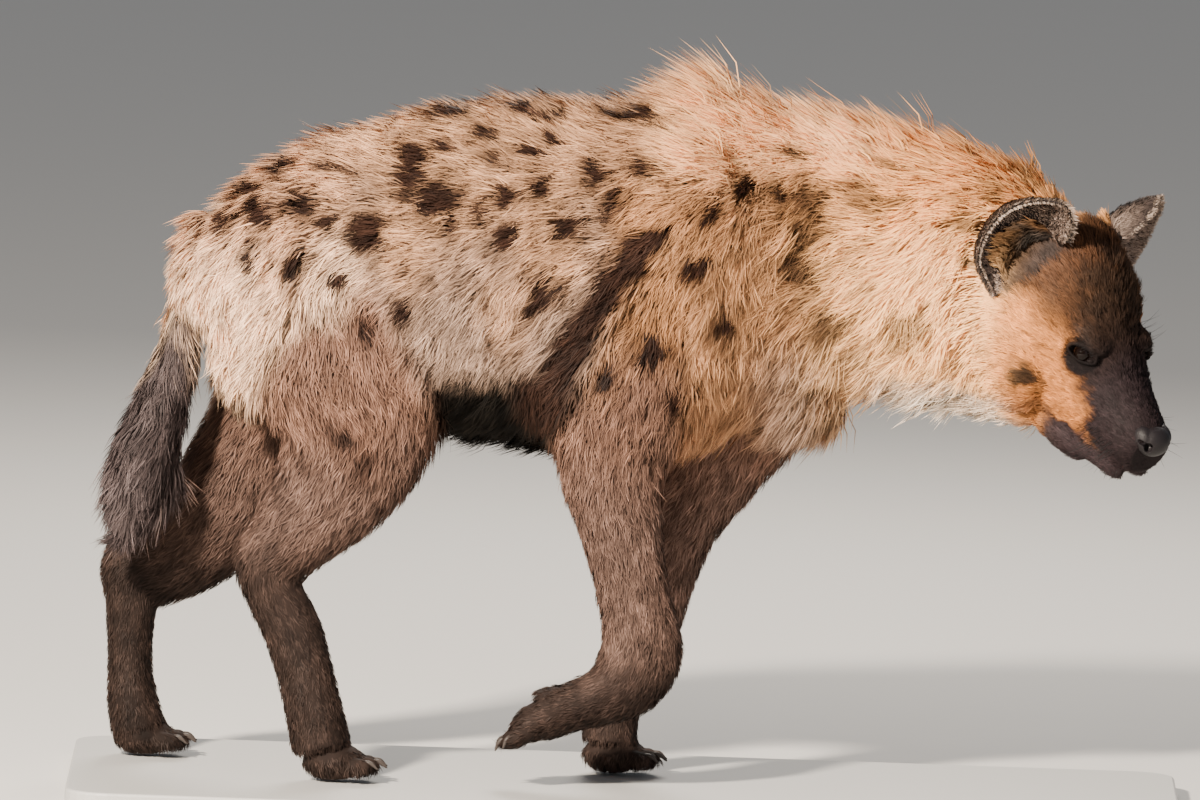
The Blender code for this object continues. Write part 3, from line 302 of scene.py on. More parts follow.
# Colours of the coat, linear
BRIGHTEST = 0.92
TAN = np.array((0.35, 0.19, 0.105))
PALE = np.array((0.235, 0.155, 0.112))
RUMP = np.array((0.395, 0.215, 0.125))
HAUNCH = np.array((0.68, 0.45, 0.3))
SANDY = np.array((0.82, 0.45, 0.22))
GOLD = np.array((0.7, 0.33, 0.12))
NECK_PALE = np.array((1.0, 0.56, 0.245))
RUSSET = np.array((0.27, 0.124, 0.052))
BREAST = np.array((0.15, 0.125, 0.12))
LEG = np.array((0.122, 0.073, 0.056))
LEG_DARK = np.array((0.018, 0.012, 0.01))
THIGH = np.array((0.15, 0.078, 0.052))
# Painted shade: near black for the belly's underside and the groin
BELLY_PAINTED_SHADE = np.array((0.004, 0.003, 0.002))
BRUSH = np.array((0.055, 0.041, 0.04))
TAIL_TOP = np.array((0.5, 0.35, 0.24))
# Face and muzzle: their own dark colours, darkened further as painted shade on the front of the face
FACE_AND_SHADE = np.array((0.02, 0.011, 0.008))
MUZZLE_AND_SHADE = np.array((0.02, 0.013, 0.014))
CHEEK_TAN = np.array((0.48, 0.18, 0.05))
# Crown: its own dark brown, darkened further as painted shade
CROWN_AND_SHADE = np.array((0.026, 0.012, 0.008))
THROAT = np.array((0.88, 0.74, 0.6))
SPOT = np.array((0.018, 0.008, 0.005))
EAR_BACK = np.array((0.15, 0.11, 0.09))
# Inside of the ear: its own dark colour, darkened further as painted shade in the ear's cup
EAR_INSIDE_AND_SHADE = np.array((0.022, 0.016, 0.015))
EAR_EDGE = np.array((0.4, 0.31, 0.25))

# Spots of the right side: x and z of the middle, half length, half height
SPOTS = (
    (-0.437, 0.709, 0.013, 0.008), (-0.383, 0.712, 0.01, 0.007), (-0.356, 0.71, 0.01, 0.007),
    (-0.477, 0.68, 0.01, 0.01), (-0.456, 0.653, 0.014, 0.018), (-0.411, 0.665, 0.022, 0.017),
    (-0.377, 0.643, 0.011, 0.01), (-0.33, 0.632, 0.018, 0.025), (-0.499, 0.639, 0.01, 0.011),
    (-0.464, 0.598, 0.008, 0.017), (-0.413, 0.583, 0.012, 0.015), (-0.363, 0.571, 0.011, 0.011),
    (-0.283, 0.703, 0.016, 0.027), (-0.276, 0.727, 0.016, 0.01), (-0.246, 0.675, 0.022, 0.019),
    (-0.239, 0.783, 0.018, 0.01), (-0.244, 0.743, 0.013, 0.009), (-0.197, 0.758, 0.013, 0.009),
    (-0.181, 0.73, 0.012, 0.009), (-0.153, 0.79, 0.017, 0.008), (-0.116, 0.785, 0.013, 0.007),
    (-0.142, 0.741, 0.012, 0.009), (-0.121, 0.757, 0.01, 0.008), (-0.022, 0.786, 0.03, 0.009),
    (-0.168, 0.683, 0.012, 0.012), (-0.131, 0.694, 0.015, 0.015), (-0.068, 0.713, 0.014, 0.014),
    (-0.01, 0.724, 0.012, 0.012), (-0.198, 0.662, 0.01, 0.012), (-0.171, 0.629, 0.011, 0.014),
    (-0.093, 0.647, 0.013, 0.015), (-0.231, 0.642, 0.01, 0.009), (-0.115, 0.57, 0.012, 0.015),
    (-0.126, 0.551, 0.01, 0.012), (-0.048, 0.674, 0.01, 0.016), (-0.012, 0.622, 0.014, 0.016),
    (-0.049, 0.588, 0.013, 0.015), (0.07, 0.668, 0.01, 0.013), (0.112, 0.702, 0.012, 0.009),
    (0.155, 0.691, 0.012, 0.013), (0.182, 0.689, 0.01, 0.014), (0.181, 0.649, 0.01, 0.02),
    (0.173, 0.606, 0.012, 0.017), (0.159, 0.749, 0.012, 0.008), (0.245, 0.698, 0.018, 0.015),
    (0.28, 0.691, 0.012, 0.01), (0.269, 0.741, 0.012, 0.008), (0.369, 0.668, 0.014, 0.01),
    (0.379, 0.623, 0.012, 0.01), (0.302, 0.532, 0.024, 0.021), (0.214, 0.531, 0.015, 0.016),
    (0.247, 0.506, 0.014, 0.012), (0.015, 0.496, 0.014, 0.013), (0.038, 0.441, 0.012, 0.012),
    (-0.338, 0.387, 0.01, 0.009), (-0.318, 0.351, 0.012, 0.013), (-0.389, 0.348, 0.009, 0.009),
    (-0.408, 0.302, 0.009, 0.01), (-0.281, 0.538, 0.01, 0.013), (-0.315, 0.513, 0.01, 0.012),
    (0.056, 0.597, 0.012, 0.012), (0.094, 0.534, 0.012, 0.012), (-0.044, 0.464, 0.012, 0.014),
)

# Shift of the far side's spots, the height angle that all are measured from, the height
# below which they fade, their growth and their halo
FAR_SHIFT = (0.028, 0.01)
SPOTS_FROM = math.radians(6.0)
SPOT_LOW = 0.36
SPOT_GROWS = 1.15
SPOT_HALO = 0.32

# Painted shade in the crease behind the shoulder: x and z of its points and its half widths
CREASE_SHADE = (
    (0.012, 0.64, 0.012),
    (-0.03, 0.59, 0.016),
    (-0.062, 0.545, 0.02),
    (-0.088, 0.49, 0.024),
    (-0.11, 0.44, 0.03),
)

# The coat: how shaggy it is, how its tufts gather, stand and are shaded; each row of the
# profiles is the width of a tuft along its length, as shares, by its number of rows
FULL_COAT = 0.035
CLUMPS = 34000
LONGEST_PULL = 0.008
ROOT_SINKS = 0.0015
TUFT_PROFILES = {3: (0.85, 0.9), 4: (0.75, 1.0, 0.7)}
NORMAL_SOFTENS = 1.6
FINE_ROUNDS = 25
BROAD_ROUNDS = 120
PALE_HAIRS = 0.16
# Painted shade: the skin under the hair takes this share of the coat's colour
SKIN_SHADE = 0.5
BARE_ROUND_EYE = 0.0045
EAR_TUFTS = 16000
EAR_TUFT_WIDTH = 0.001
UV_PATCH = 0.003
BLEND_SHARPNESS = 14.0
POINTS_AT_ONCE = 20000
EAR_POINTS_AT_ONCE = 4000

# Coat pieces: name, limbs, first and last x, tufts, tuft width, rows of a tuft, how strongly
# they gather, slot
COAT_PIECES = (
    ("coat_rump", (0,), -0.7, -0.231, 63000, 0.0014, 3, 0.55, "coat_tan"),
    ("coat_flank", (0,), -0.231, -0.03, 63000, 0.0014, 3, 0.55, "coat_tan"),
    ("coat_shoulder", (0,), -0.03, 0.7, 63000, 0.0014, 3, 0.55, "coat_tan"),
    ("coat_neck", (1,), -0.7, 0.7, 65000, 0.0015, 3, 0.55, "coat_gold"),
    ("coat_crown", (2,), -0.7, 0.539, 49000, 0.001, 3, 0.35, "coat_gold"),
    ("coat_face", (2,), 0.539, 0.8, 49000, 0.001, 3, 0.35, "coat_gold"),
    ("coat_tail", (3,), -0.8, 0.7, 14000, 0.0018, 4, 0.45, "coat_dark"),
    ("coat_hindlegs", (4, 5), -0.8, 0.7, 46000, 0.0015, 3, 0.35, "coat_brown"),
    ("coat_forelegs", (6, 7), -0.8, 0.7, 46000, 0.0015, 3, 0.35, "coat_brown"),
)
LEG_PIECES = ("coat_hindlegs", "coat_forelegs")
HEAD_PIECES = ("coat_crown", "coat_face")

# Whiskers, lashes and brow hairs: number a side, forward, left and up of the first and last
# root, forward, left and up of their direction, length, width
BRISTLES = (
    (14, (0.205, 0.036, -0.022), (0.256, 0.03, -0.026), (0.35, 1.0, -0.25), 0.05, 0.0006),
    (12, (0.215, 0.037, -0.034), (0.25, 0.028, -0.036), (0.25, 1.0, -0.55), 0.04, 0.0006),
    (8, (0.24, 0.014, -0.062), (0.262, 0.01, -0.056), (0.5, 0.3, -0.8), 0.014, 0.0006),
    (7, (0.132, 0.034, 0.058), (0.166, 0.04, 0.056), (0.45, 0.7, 0.75), 0.034, 0.0005),
    (24, (0.14, 0.058, 0.052), (0.174, 0.05, 0.05), (0.3, 1.0, -0.1), 0.006, 0.0006),
)
BRISTLE_ROWS = 6
BRISTLE_SHADE = 0.022

# Nodes of the solids that the skin stands for
FLESH = (
    "torso", "neck", "head", "tail", "ear_left", "ear_right",
    "hindleg_right", "hindleg_left", "foreleg_right", "foreleg_left",
    "hindpaw_right", "hindpaw_left", "forepaw_right", "forepaw_left",
)

# Gloss of skin and hair, and the roughness, size and depth of grain of each
HAIR_GLOSS = 0.1
COATS = {"hair": (0.62, 0.0, 0.0), "skin": (0.75, 900.0, 0.0008)}

# Plain materials: colour, roughness, gloss, clear coat, size and depth of grain
PAINTS = {
    "nose_skin": ((0.01, 0.008, 0.009), 0.46, 0.22, 0.0, 900.0, 0.0006),
    "eye_gloss": ((0.004, 0.002, 0.0015), 0.07, 0.1, 0.12, 40.0, 0.0),
    "claw_horn": ((0.05, 0.04, 0.035), 0.45, 0.22, 0.0, 300.0, 0.0002),
    "base_paint": ((0.46, 0.45, 0.43), 0.45, 0.22, 0.0, 400.0, 0.0001),
    "floor_paint": ((0.62, 0.6, 0.57), 0.75, 0.22, 0.0, 8.0, 0.0),
}

# Sky and lamps: name, place, power, size, colour; all lamps shine on one point
SKY = {"Color": (0.8, 0.84, 0.9, 1.0), "Strength": 0.34}
LAMPS_AIM = Vector((0.0, 0.0, 0.5))
FLOOR_SIZE = 30.0
LAMPS = (
    ("sun_lamp", (-2.1, -3.5, 2.7), 900.0, 0.35, (1.0, 0.89, 0.76)),
    ("fill_lamp", (3.0, -2.6, 1.2), 16.0, 2.5, (0.9, 0.94, 1.0)),
    ("back_lamp", (0.2, 3.0, 2.8), 130.0, 1.5, (1.0, 0.93, 0.84)),
)

# The camera: its distance, height angle, roll, width seen there, sensor and aim
CAMERA_DISTANCE = 25.0
CAMERA_RISE = math.radians(6.0)
CAMERA_ROLL = math.radians(2.0)
VIEW_WIDTH = 1.404
SENSOR = 36.0
CAMERA_AIM = Vector((-0.0445, 0.0, 0.469))


def settle(obj):
    """Turn an object's modifiers into its mesh."""
    graph = bpy.context.evaluated_depsgraph_get()
    graph.update()
    mesh = bpy.data.meshes.new_from_object(obj.evaluated_get(graph), depsgraph=graph)
    obj.modifiers.clear()
    obj.data = mesh


def soften(obj, factor, rounds):
    """Relax an object's surface."""
    smooth = obj.modifiers.new("soften", "SMOOTH")
    smooth.factor = factor
    smooth.iterations = rounds
    settle(obj)


def add_object(name, data):
    """Put a mesh, a lamp or a camera into the scene."""
    obj = bpy.data.objects.new(name, data)
    bpy.context.scene.collection.objects.link(obj)
    return obj


def new_object(name, form):
    """Turn a bmesh into an object of the scene."""
    mesh = bpy.data.meshes.new(name)
    form.normal_update()
    form.to_mesh(mesh)
    form.free()
    return add_object(name, mesh)


def fused(name, form, cell, rounds=3):
    """Fuse overlapping forms into one closed, evenly smoothed surface."""
    obj = new_object(name, form)
    remesh = obj.modifiers.new("fuse", "REMESH")
    remesh.mode = "VOXEL"
    remesh.voxel_size = cell
    soften(obj, 0.5, rounds)
    return obj


def combine(obj, other, operation):
    """Apply one Boolean with another object and remove that object."""
    boolean = obj.modifiers.new("combine", "BOOLEAN")
    boolean.operation = operation
    boolean.solver = "MANIFOLD"
    boolean.object = other
    settle(obj)
    bpy.data.objects.remove(other, do_unlink=True)


def smooth_rows(rows, steps):
    """Pass a smooth curve through the rows, every column alike."""
    table = [Vector(row) for row in rows]
    last = len(table) - 1
    result = []
    for index in range(last):
        before = table[max(index - 1, 0)]
        start = table[index]
        end = table[index + 1]
        after = table[min(index + 2, last)]
        for step in range(steps):
            t = step / steps
            result.append(0.5 * (
                2.0 * start
                + (end - before) * t
                + (2.0 * before - 5.0 * start + 4.0 * end - after) * t * t
                + (3.0 * start - 3.0 * end + after - before) * t * t * t
            ))
    result.append(table[last])
    return result


def way_at(points, index):
    """Direction of a path at one of its points."""
    ahead = points[min(index + 1, len(points) - 1)]
    behind = points[max(index - 1, 0)]
    return (ahead - behind).normalized()


def ring_angles(count):
    """Angles of the corners of a ring."""
    return [math.tau * step / count for step in range(count)]


def oval(middle, side, other, wide, deep, count):
    """Corners of an oval round its middle, along two directions."""
    return [
        middle + side * wide * math.cos(angle) + other * deep * math.sin(angle)
        for angle in ring_angles(count)
    ]


def add_rings(form, rings, closed=False):
    """Join rings of points into a tube with flat ends, or one closed on itself."""
    loops = [[form.verts.new(point) for point in ring] for ring in rings]
    count = len(loops[0])
    for lower, upper in zip(loops, loops[1:] + (loops[:1] if closed else [])):
        for index in range(count):
            following = (index + 1) % count
            form.faces.new((lower[index], lower[following], upper[following], upper[index]))
    if not closed:
        form.faces.new(list(reversed(loops[0])))
        form.faces.new(loops[-1])


def add_limb(form, rows, share=SKIN_SHARE, top_share=SKIN_SHARE):
    """Sweep an oval along rows of x, y, z, half width, half depth and coat.

    The share of the coat that the skin lies below it may change towards a leg's top.
    """
    sideways = Vector((0.0, 1.0, 0.0))
    path = smooth_rows(rows, STEPS_PER_ROW)
    middles = [Vector(row[:3]) for row in path]
    rings = []
    for index, (x, y, z, wide, deep, coat) in enumerate(path):
        along = way_at(middles, index)
        side = (sideways - along * sideways.dot(along)).normalized()
        high = min(max((z - TOP_FROM) / (TOP_UNTIL - TOP_FROM), 0.0), 1.0)
        inset = coat * (share + (top_share - share) * high)
        rings.append(oval(
            middles[index], side, along.cross(side), wide - inset, deep - inset, RING_SIDES,
        ))
    add_rings(form, rings)


def add_ball(form, middle, radii, coat, turn=None):
    """Add an ellipsoid, inset by its coat."""
    place = Matrix.Translation(Vector(middle))
    if turn is not None:
        place = place @ turn
    size = Matrix.Diagonal([radius - coat * SKIN_SHARE for radius in radii] + [1.0])
    bmesh.ops.create_uvsphere(form, u_segments=32, v_segments=20, radius=1.0, matrix=place @ size)


def turned(forward, across, up):
    """The turn of something that points along three directions."""
    return Matrix((forward, across, up)).transposed().to_4x4()


HEAD_TURN = turned(HEAD_FORWARD, HEAD_LEFT, HEAD_UP)


def head_point(forward, left, up):
    """Place a point that is measured along the head."""
    return ATLAS + HEAD_FORWARD * forward + HEAD_LEFT * left + HEAD_UP * up


def head_place(place, side):
    """The same for one side of the head."""
    return head_point(place[0], place[1] * side, place[2])


def add_trunk(form):
    """Trunk with its muscles."""
    rings = []
    for x, y, z, wide, deep, coat in smooth_rows(TRUNK_ROWS, STEPS_PER_ROW):
        inset = coat * SKIN_SHARE
        rings.append([
            Vector((x, y + (wide - inset) * math.cos(angle), z + (deep - inset) * math.sin(angle)))
            for angle in ring_angles(RING_SIDES)
        ])
    add_rings(form, rings)
    for middle, radii, turn, coat in MUSCLES:
        add_ball(form, middle, radii, coat, Matrix.Rotation(math.radians(turn), 4, "Y"))


def add_head(form):
    """Skull, muzzle, cheeks, brows and lips."""
    rings = []
    for forward, top, under, wide, coat in smooth_rows(HEAD, STEPS_PER_ROW):
        inset = coat * SKIN_SHARE
        middle = 0.5 * (top + under)
        deep = 0.5 * (top - under) - inset
        narrows = HEAD_NARROWS * min(max((NARROW_UNTIL - forward) / NARROW_FADE, 0.0), 1.0)
        ring = []
        for angle in ring_angles(RING_SIDES):
            narrow = 1.0 - narrows * max(math.sin(angle), 0.0)
            left = (wide - inset) * math.cos(angle) * narrow
            ring.append(head_point(forward, left, middle + deep * math.sin(angle)))
        rings.append(ring)
    add_rings(form, rings)
    for place, radii, coat in HEAD_BULGES:
        for side in SIDES:
            add_ball(form, head_place(place, side), radii, coat, HEAD_TURN)


def eye_axes(side):
    """Middle of an eye and its outward, upward and sideways directions."""
    forward, left, up = EYE_LOOKS
    out = (HEAD_FORWARD * forward + HEAD_LEFT * left * side + HEAD_UP * up).normalized()
    rise = (HEAD_UP - out * HEAD_UP.dot(out)).normalized()
    return head_place(EYE_AT, side), out, rise, rise.cross(out)


def add_lids(form, side):
    """A rim of two lids round an eye, the upper one heavier."""
    middle, out, rise, across = eye_axes(side)
    rings = []
    for angle in ring_angles(LID_STEPS):
        heavy = 1.0 + LID_HEAVIER * max(math.sin(angle), 0.0)
        centre = (
            middle + out * EYE_RADIUS * LID_STANDS
            + across * LID_HALF_WIDTH * math.cos(angle)
            + rise * LID_HALF_HEIGHT * math.sin(angle) * (1.0 if angle < math.pi else LID_LOW_SHARE)
        )
        spoke = (centre - middle).normalized()
        lift = spoke.cross((across * -math.sin(angle) + rise * math.cos(angle)).normalized())
        rings.append(oval(centre, spoke * LID_THICK, lift * LID_THICK, heavy, heavy, LID_SIDES))
    add_rings(form, rings, closed=True)


def ear_grid(side, steps, levels):
    """Points of one ear as a bowl between its foot in the head and its rim."""
    rim = smooth_rows(FAR_EAR_RIM if side > 0.0 else EAR_RIM, steps)
    foot = smooth_rows(EAR_FOOT, steps)
    grid = []
    for column, (edge, base) in enumerate(zip(rim, foot)):
        bulge = EAR_CUPS[side] * math.sin(math.pi * column / (len(rim) - 1)) ** EAR_ROUND_ACROSS
        line = []
        for level in range(levels + 1):
            t = level / levels
            push = bulge * math.sin(math.pi * t) ** EAR_ROUND_ALONG
            line.append(head_place(
                [b + (e - b) * t + way * push for b, e, way in zip(base, edge, EAR_BULGE)], side,
            ))
        grid.append(line)
    return grid


def ear_array(side, steps, levels):
    """The same points as an array."""
    return np.array([[tuple(point) for point in line] for line in ear_grid(side, steps, levels)])


def ear_half(level):
    """Half the thickness of an ear, which thins from foot, 0, to rim, 1."""
    return 0.5 * EAR_THICK * (1.0 - EAR_THINS * level ** 2)


def add_ear(form, side):
    """Add the shell of one ear, thinner towards its rim."""
    grid = ear_grid(side, EAR_STEPS, EAR_LEVELS)
    last = len(grid) - 1
    shells = ([], [])
    for column, line in enumerate(grid):
        front = []
        back = []
        for level, point in enumerate(line):
            along = grid[min(column + 1, last)][level] - grid[max(column - 1, 0)][level]
            outward = line[min(level + 1, EAR_LEVELS)] - line[max(level - 1, 0)]
            push = along.cross(outward).normalized() * side * ear_half(level / EAR_LEVELS)
            front.append(form.verts.new(point + push))
            back.append(form.verts.new(point - push))
        shells[0].append(front)
        shells[1].append(back)

    def add_face(*corners):
        form.faces.new([shells[shell][column][level] for shell, column, level in corners])

    for i in range(last):
        for j in range(EAR_LEVELS):
            add_face((0, i, j), (0, i + 1, j), (0, i + 1, j + 1), (0, i, j + 1))
        for j in range(EAR_LEVELS):
            add_face((1, i, j + 1), (1, i + 1, j + 1), (1, i + 1, j), (1, i, j))
        for j in (0, EAR_LEVELS):
            add_face((0, i, j), (0, i + 1, j), (1, i + 1, j), (1, i, j))
    for i in (0, last):
        for j in range(EAR_LEVELS):
            add_face((0, i, j), (0, i, j + 1), (1, i, j + 1), (1, i, j))


def toe_ways(forward, up):
    """Place across the paw and direction of each toe."""
    for index in range(TOES):
        place = index - 0.5 * (TOES - 1)
        yield place, Matrix.Rotation(place * TOE_FANS, 3, up) @ forward


def add_paw(form, middle, forward, up):
    """Pads and toes of one paw."""
    across = up.cross(forward)
    add_ball(form, middle + forward * 0.004, PAD_RADII, 0.0, turned(forward, across, up))
    for place, way in toe_ways(forward, up):
        reach = TOE_REACH[abs(place) > 1.0]
        centre = middle + forward * reach + across * place * TOE_SPREAD - up * 0.004
        turn = turned(way, up.cross(way), up)
        add_ball(form, centre, TOE_RADII, TOE_COAT, turn)
        add_ball(form, centre - way * 0.02 + up * 0.006, KNUCKLE_RADII, TOE_COAT, turn)


def mouth_path():
    """The line between the lips from corner to corner, as forward, angle to the side and up."""
    corner_forward, corner_up = MOUTH_CORNER
    front_forward, front_up = MOUTH_FRONT
    pivot = front_forward - MOUTH_ROUND
    lip = []
    for step in range(MOUTH_STEPS):
        t = step / MOUTH_STEPS
        up = corner_up + (front_up - corner_up) * t - MOUTH_SAG * math.sin(math.pi * t)
        lip.append((corner_forward + (pivot - corner_forward) * t, 90.0, up))
    front = [(pivot, float(angle), front_up) for angle in range(90, -91, -10)]
    return lip + front + [(forward, -angle, up) for forward, angle, up in reversed(lip)]


def cast(skin, start, aim):
    """Where a ray from a point meets the skin, or nothing."""
    target = skin.evaluated_get(bpy.context.evaluated_depsgraph_get())
    found, spot, normal, index = target.ray_cast(start, aim)
    return spot if found else None


def add_mouth(form, skin):
    """A thin tube along the line of the mouth, laid on the skin."""
    points = []
    for forward, angle, up in mouth_path():
        turn = math.radians(angle)
        aim = HEAD_FORWARD * math.cos(turn) + HEAD_LEFT * math.sin(turn)
        spot = cast(skin, head_point(forward, 0.0, up) + aim * 0.15, -aim)
        if spot is not None:
            points.append(spot)
    rings = []
    for index, point in enumerate(points):
        along = way_at(points, index)
        side = along.cross(HEAD_UP).normalized()
        end = min(index, len(points) - 1 - index) / 3.0
        radius = MOUTH_DEEP * min(1.0, 0.3 + end)
        rings.append(oval(point, side, side.cross(along) * 0.55, radius, radius, MOUTH_SIDES))
    add_rings(form, rings)


def make_skin():
    """One skin over trunk, neck, legs, tail, head, ears and paws."""
    form = bmesh.new()
    add_trunk(form)
    add_limb(form, NECK)
    add_limb(form, TAIL)
    for rows in LEGS:
        add_limb(form, rows, LEG_SHARE, TOP_SHARE)
    skin = fused("skin", form, BODY_CELL)

    form = bmesh.new()
    add_head(form)
    for side in SIDES:
        add_ear(form, side)
        add_lids(form, side)
    head = fused("head_skin", form, HEAD_CELL)
    for side in SIDES:
        form = bmesh.new()
        bmesh.ops.create_uvsphere(
            form, u_segments=40, v_segments=24, radius=EYE_RADIUS * SOCKET_SHARE,
            matrix=Matrix.Translation(eye_axes(side)[0]),
        )
        combine(head, new_object("socket", form), "DIFFERENCE")
    form = bmesh.new()
    add_mouth(form, head)
    combine(head, new_object("mouth", form), "DIFFERENCE")
    combine(skin, head, "UNION")

    for (name, middle, forward, up), rows in zip(PAWS, LEGS):
        form = bmesh.new()
        add_paw(form, middle, forward, up)
        add_limb(form, rows[-3:], LEG_SHARE)
        combine(skin, fused(name, form, PAW_CELL), "UNION")
    form = bmesh.new()
    below = Matrix.Translation((0.0, 0.0, -0.5)) @ Matrix.Diagonal((3.0, 3.0, 1.0, 1.0))
    bmesh.ops.create_cube(form, size=1.0, matrix=below)
    combine(skin, new_object("floor_cut", form), "DIFFERENCE")
    soften(skin, 0.35, 1)
    skin.data.shade_smooth()
    return skin


def unit(vectors):
    """Scale each vector to length 1."""
    return vectors / np.maximum(np.linalg.norm(vectors, axis=-1), 1e-9)[..., None]


def wave(points, size, seed, count=7):
    """Smooth noise between about -1 and 1 at each point."""
    draw = np.random.default_rng(seed)
    total = np.zeros(len(points))
    for index in range(count):
        direction = draw.normal(size=3)
        direction /= np.linalg.norm(direction)
        pace = math.tau / (size * draw.uniform(0.7, 1.6))
        total += np.sin(points @ direction * pace + draw.uniform(0.0, math.tau))
    return total / math.sqrt(count)


def ramp(low, high, value):
    """Smooth step from 0 at low to 1 at high."""
    t = np.clip((value - low) / (high - low), 0.0, 1.0)
    return t * t * (3.0 - 2.0 * t)


def mix(one, other, share):
    """Blend two colours, directions or arrays of them."""
    share = np.asarray(share)[:, None]
    return one * (1.0 - share) + other * share


def layered(ground, *layers):
    """Lay colours or directions over a ground, each by its own share."""
    for other, share in layers:
        ground = mix(ground, other, share)
    return ground


def limb_samples():
    """Points, directions, radii, coats and places along each limb, for the nearest search."""
    head_rows = [
        tuple(head_point(forward, 0.0, 0.5 * (top + under))) + (wide, 0.5 * (top - under), coat)
        for forward, top, under, wide, coat in HEAD
    ]
    result = []
    for rows in (TRUNK_ROWS, NECK, head_rows, TAIL) + LEGS:
        path = np.array([tuple(row) for row in smooth_rows(rows, STEPS_PER_ROW)])
        along = np.gradient(path[:, :3], axis=0)
        along /= np.linalg.norm(along, axis=1)[:, None]
        place = np.linspace(0.0, 1.0, len(path))
        result.append((path[:, :3], along, path[:, 3:5].mean(axis=1), path[:, 5], place))
    return result


TRUNK, NECK_PART, HEAD_PART, TAIL_PART, FIRST_LEG = 0, 1, 2, 3, 4
SAMPLES = limb_samples()
PARTS = len(SAMPLES)


def survey(points):
    """Weight of each limb at each point, with the place, direction and coat found there."""
    weights = np.zeros((len(points), PARTS))
    places = np.zeros((len(points), PARTS))
    along = np.zeros((len(points), PARTS, 3))
    coats = np.zeros((len(points), PARTS))
    for part, (middles, directions, radii, coat, place) in enumerate(SAMPLES):
        for start in range(0, len(points), POINTS_AT_ONCE):
            block = points[start:start + POINTS_AT_ONCE]
            span = np.linalg.norm(block[:, None] - middles, axis=2) / radii
            nearest = span.argmin(axis=1)
            rows = slice(start, start + len(block))
            weights[rows, part] = np.exp(-BLEND_SHARPNESS * span[np.arange(len(block)), nearest])
            places[rows, part] = place[nearest]
            along[rows, part] = directions[nearest]
            coats[rows, part] = coat[nearest]
    weights /= weights.sum(axis=1)[:, None]
    return weights, places, along, coats


def head_measures(points):
    """Forward, left and up of each point along the head."""
    offset = points - np.array(ATLAS)
    return tuple(offset @ np.array(way) for way in (HEAD_FORWARD, HEAD_LEFT, HEAD_UP))


def eye_distance(points):
    """Distance of each point from the middle of the nearer eye."""
    return np.minimum(*(
        np.linalg.norm(points - np.array(eye_axes(side)[0]), axis=1) for side in SIDES
    ))


def coat_depth(fields):
    """Depth of the coat at each point, blended between limbs."""
    weights, places, along, coats = fields
    return (weights * coats).sum(axis=1)


def spot_share(points):
    """How dark each point is by the spots and by painted shade in the crease behind the shoulder."""
    near = points[:, 1] < 0.0
    level = points[:, 2] - np.abs(points[:, 1]) * math.tan(SPOTS_FROM)
    x = np.where(near, points[:, 0], points[:, 0] - FAR_SHIFT[0]) + 0.005 * wave(points, 0.035, 11)
    z = np.where(near, level, level - FAR_SHIFT[1]) + 0.005 * wave(points, 0.035, 12)
    share = np.zeros(len(points))
    for spot_x, spot_z, half_long, half_high in SPOTS:
        span = np.hypot((x - spot_x) / half_long, (z - spot_z) / half_high) / SPOT_GROWS
        share = np.maximum(share, 1.0 - ramp(0.75, 1.35, span))
        share = np.maximum(share, SPOT_HALO * (1.0 - ramp(1.2, 2.3, span)))
    # Painted shade along the crease behind the shoulder
    for start, end in zip(CREASE_SHADE, CREASE_SHADE[1:]):
        run = np.array((end[0] - start[0], end[1] - start[1]))
        t = np.clip(((x - start[0]) * run[0] + (z - start[1]) * run[1]) / (run @ run), 0.0, 1.0)
        span = np.hypot(x - start[0] - run[0] * t, z - start[1] - run[1] * t)
        wide = start[2] + (end[2] - start[2]) * t
        share = np.maximum(share, 1.0 - ramp(0.6, 1.8, span / wide))
    return share


def cup_share(points):
    """1 on the skull inside the cup of each ear, 0 elsewhere."""
    forward, left, up = head_measures(points)
    line = 0.034 + 0.3 * (up - 0.028)
    inside = ramp(0.004, -0.004, forward - line) * ramp(-0.045, -0.03, forward)
    inside = inside * ramp(0.022, 0.034, up) * ramp(0.128, 0.112, up)
    return inside * ramp(0.03, 0.042, np.abs(left))


def face_colour(points):
    """Colour of the head from its measures, its crown and the front of its face darkened as painted
    shade.
    """
    forward, left, up = head_measures(points)
    crown = ramp(0.03, 0.075, up + 0.008 * wave(points, 0.04, 23))
    edge = 0.149 - 0.74 * (up - 0.043) + 0.008 * wave(points, 0.03, 21)
    dark = ramp(-0.022, 0.018, forward - edge + 0.004 * wave(points, 0.008, 24))
    eye = np.sqrt((forward - 0.158) ** 2 + (np.abs(left) - 0.046) ** 2 + (up - 0.034) ** 2)
    lips = ramp(-0.038, -0.054, up + 0.004 * wave(points, 0.02, 25))
    spot = np.sqrt((forward - 0.118) ** 2 + (up + 0.019) ** 2) + 0.003 * wave(points, 0.02, 22)
    throat = ramp(-0.085, -0.112, up) * ramp(0.12, 0.05, forward)
    return layered(
        CHEEK_TAN,
        (GOLD, ramp(0.07, 0.0, forward)),
        # Crown and front of the face: their own darker colour, darkened further as painted shade
        (CROWN_AND_SHADE, 0.92 * crown * ramp(-0.01, 0.035, forward)),
        (mix(FACE_AND_SHADE, MUZZLE_AND_SHADE, ramp(0.15, 0.205, forward)), dark),
        (MUZZLE_AND_SHADE * 0.35, ramp(0.03, 0.018, eye)),
        (MUZZLE_AND_SHADE * 1.6, lips * ramp(0.125, 0.16, forward)),
        (SPOT, ramp(0.021, 0.011, spot)),
        (THROAT, 0.75 * throat),
        # Painted shade on the skull inside the cup of each ear
        (EAR_INSIDE_AND_SHADE, cup_share(points)),
    )


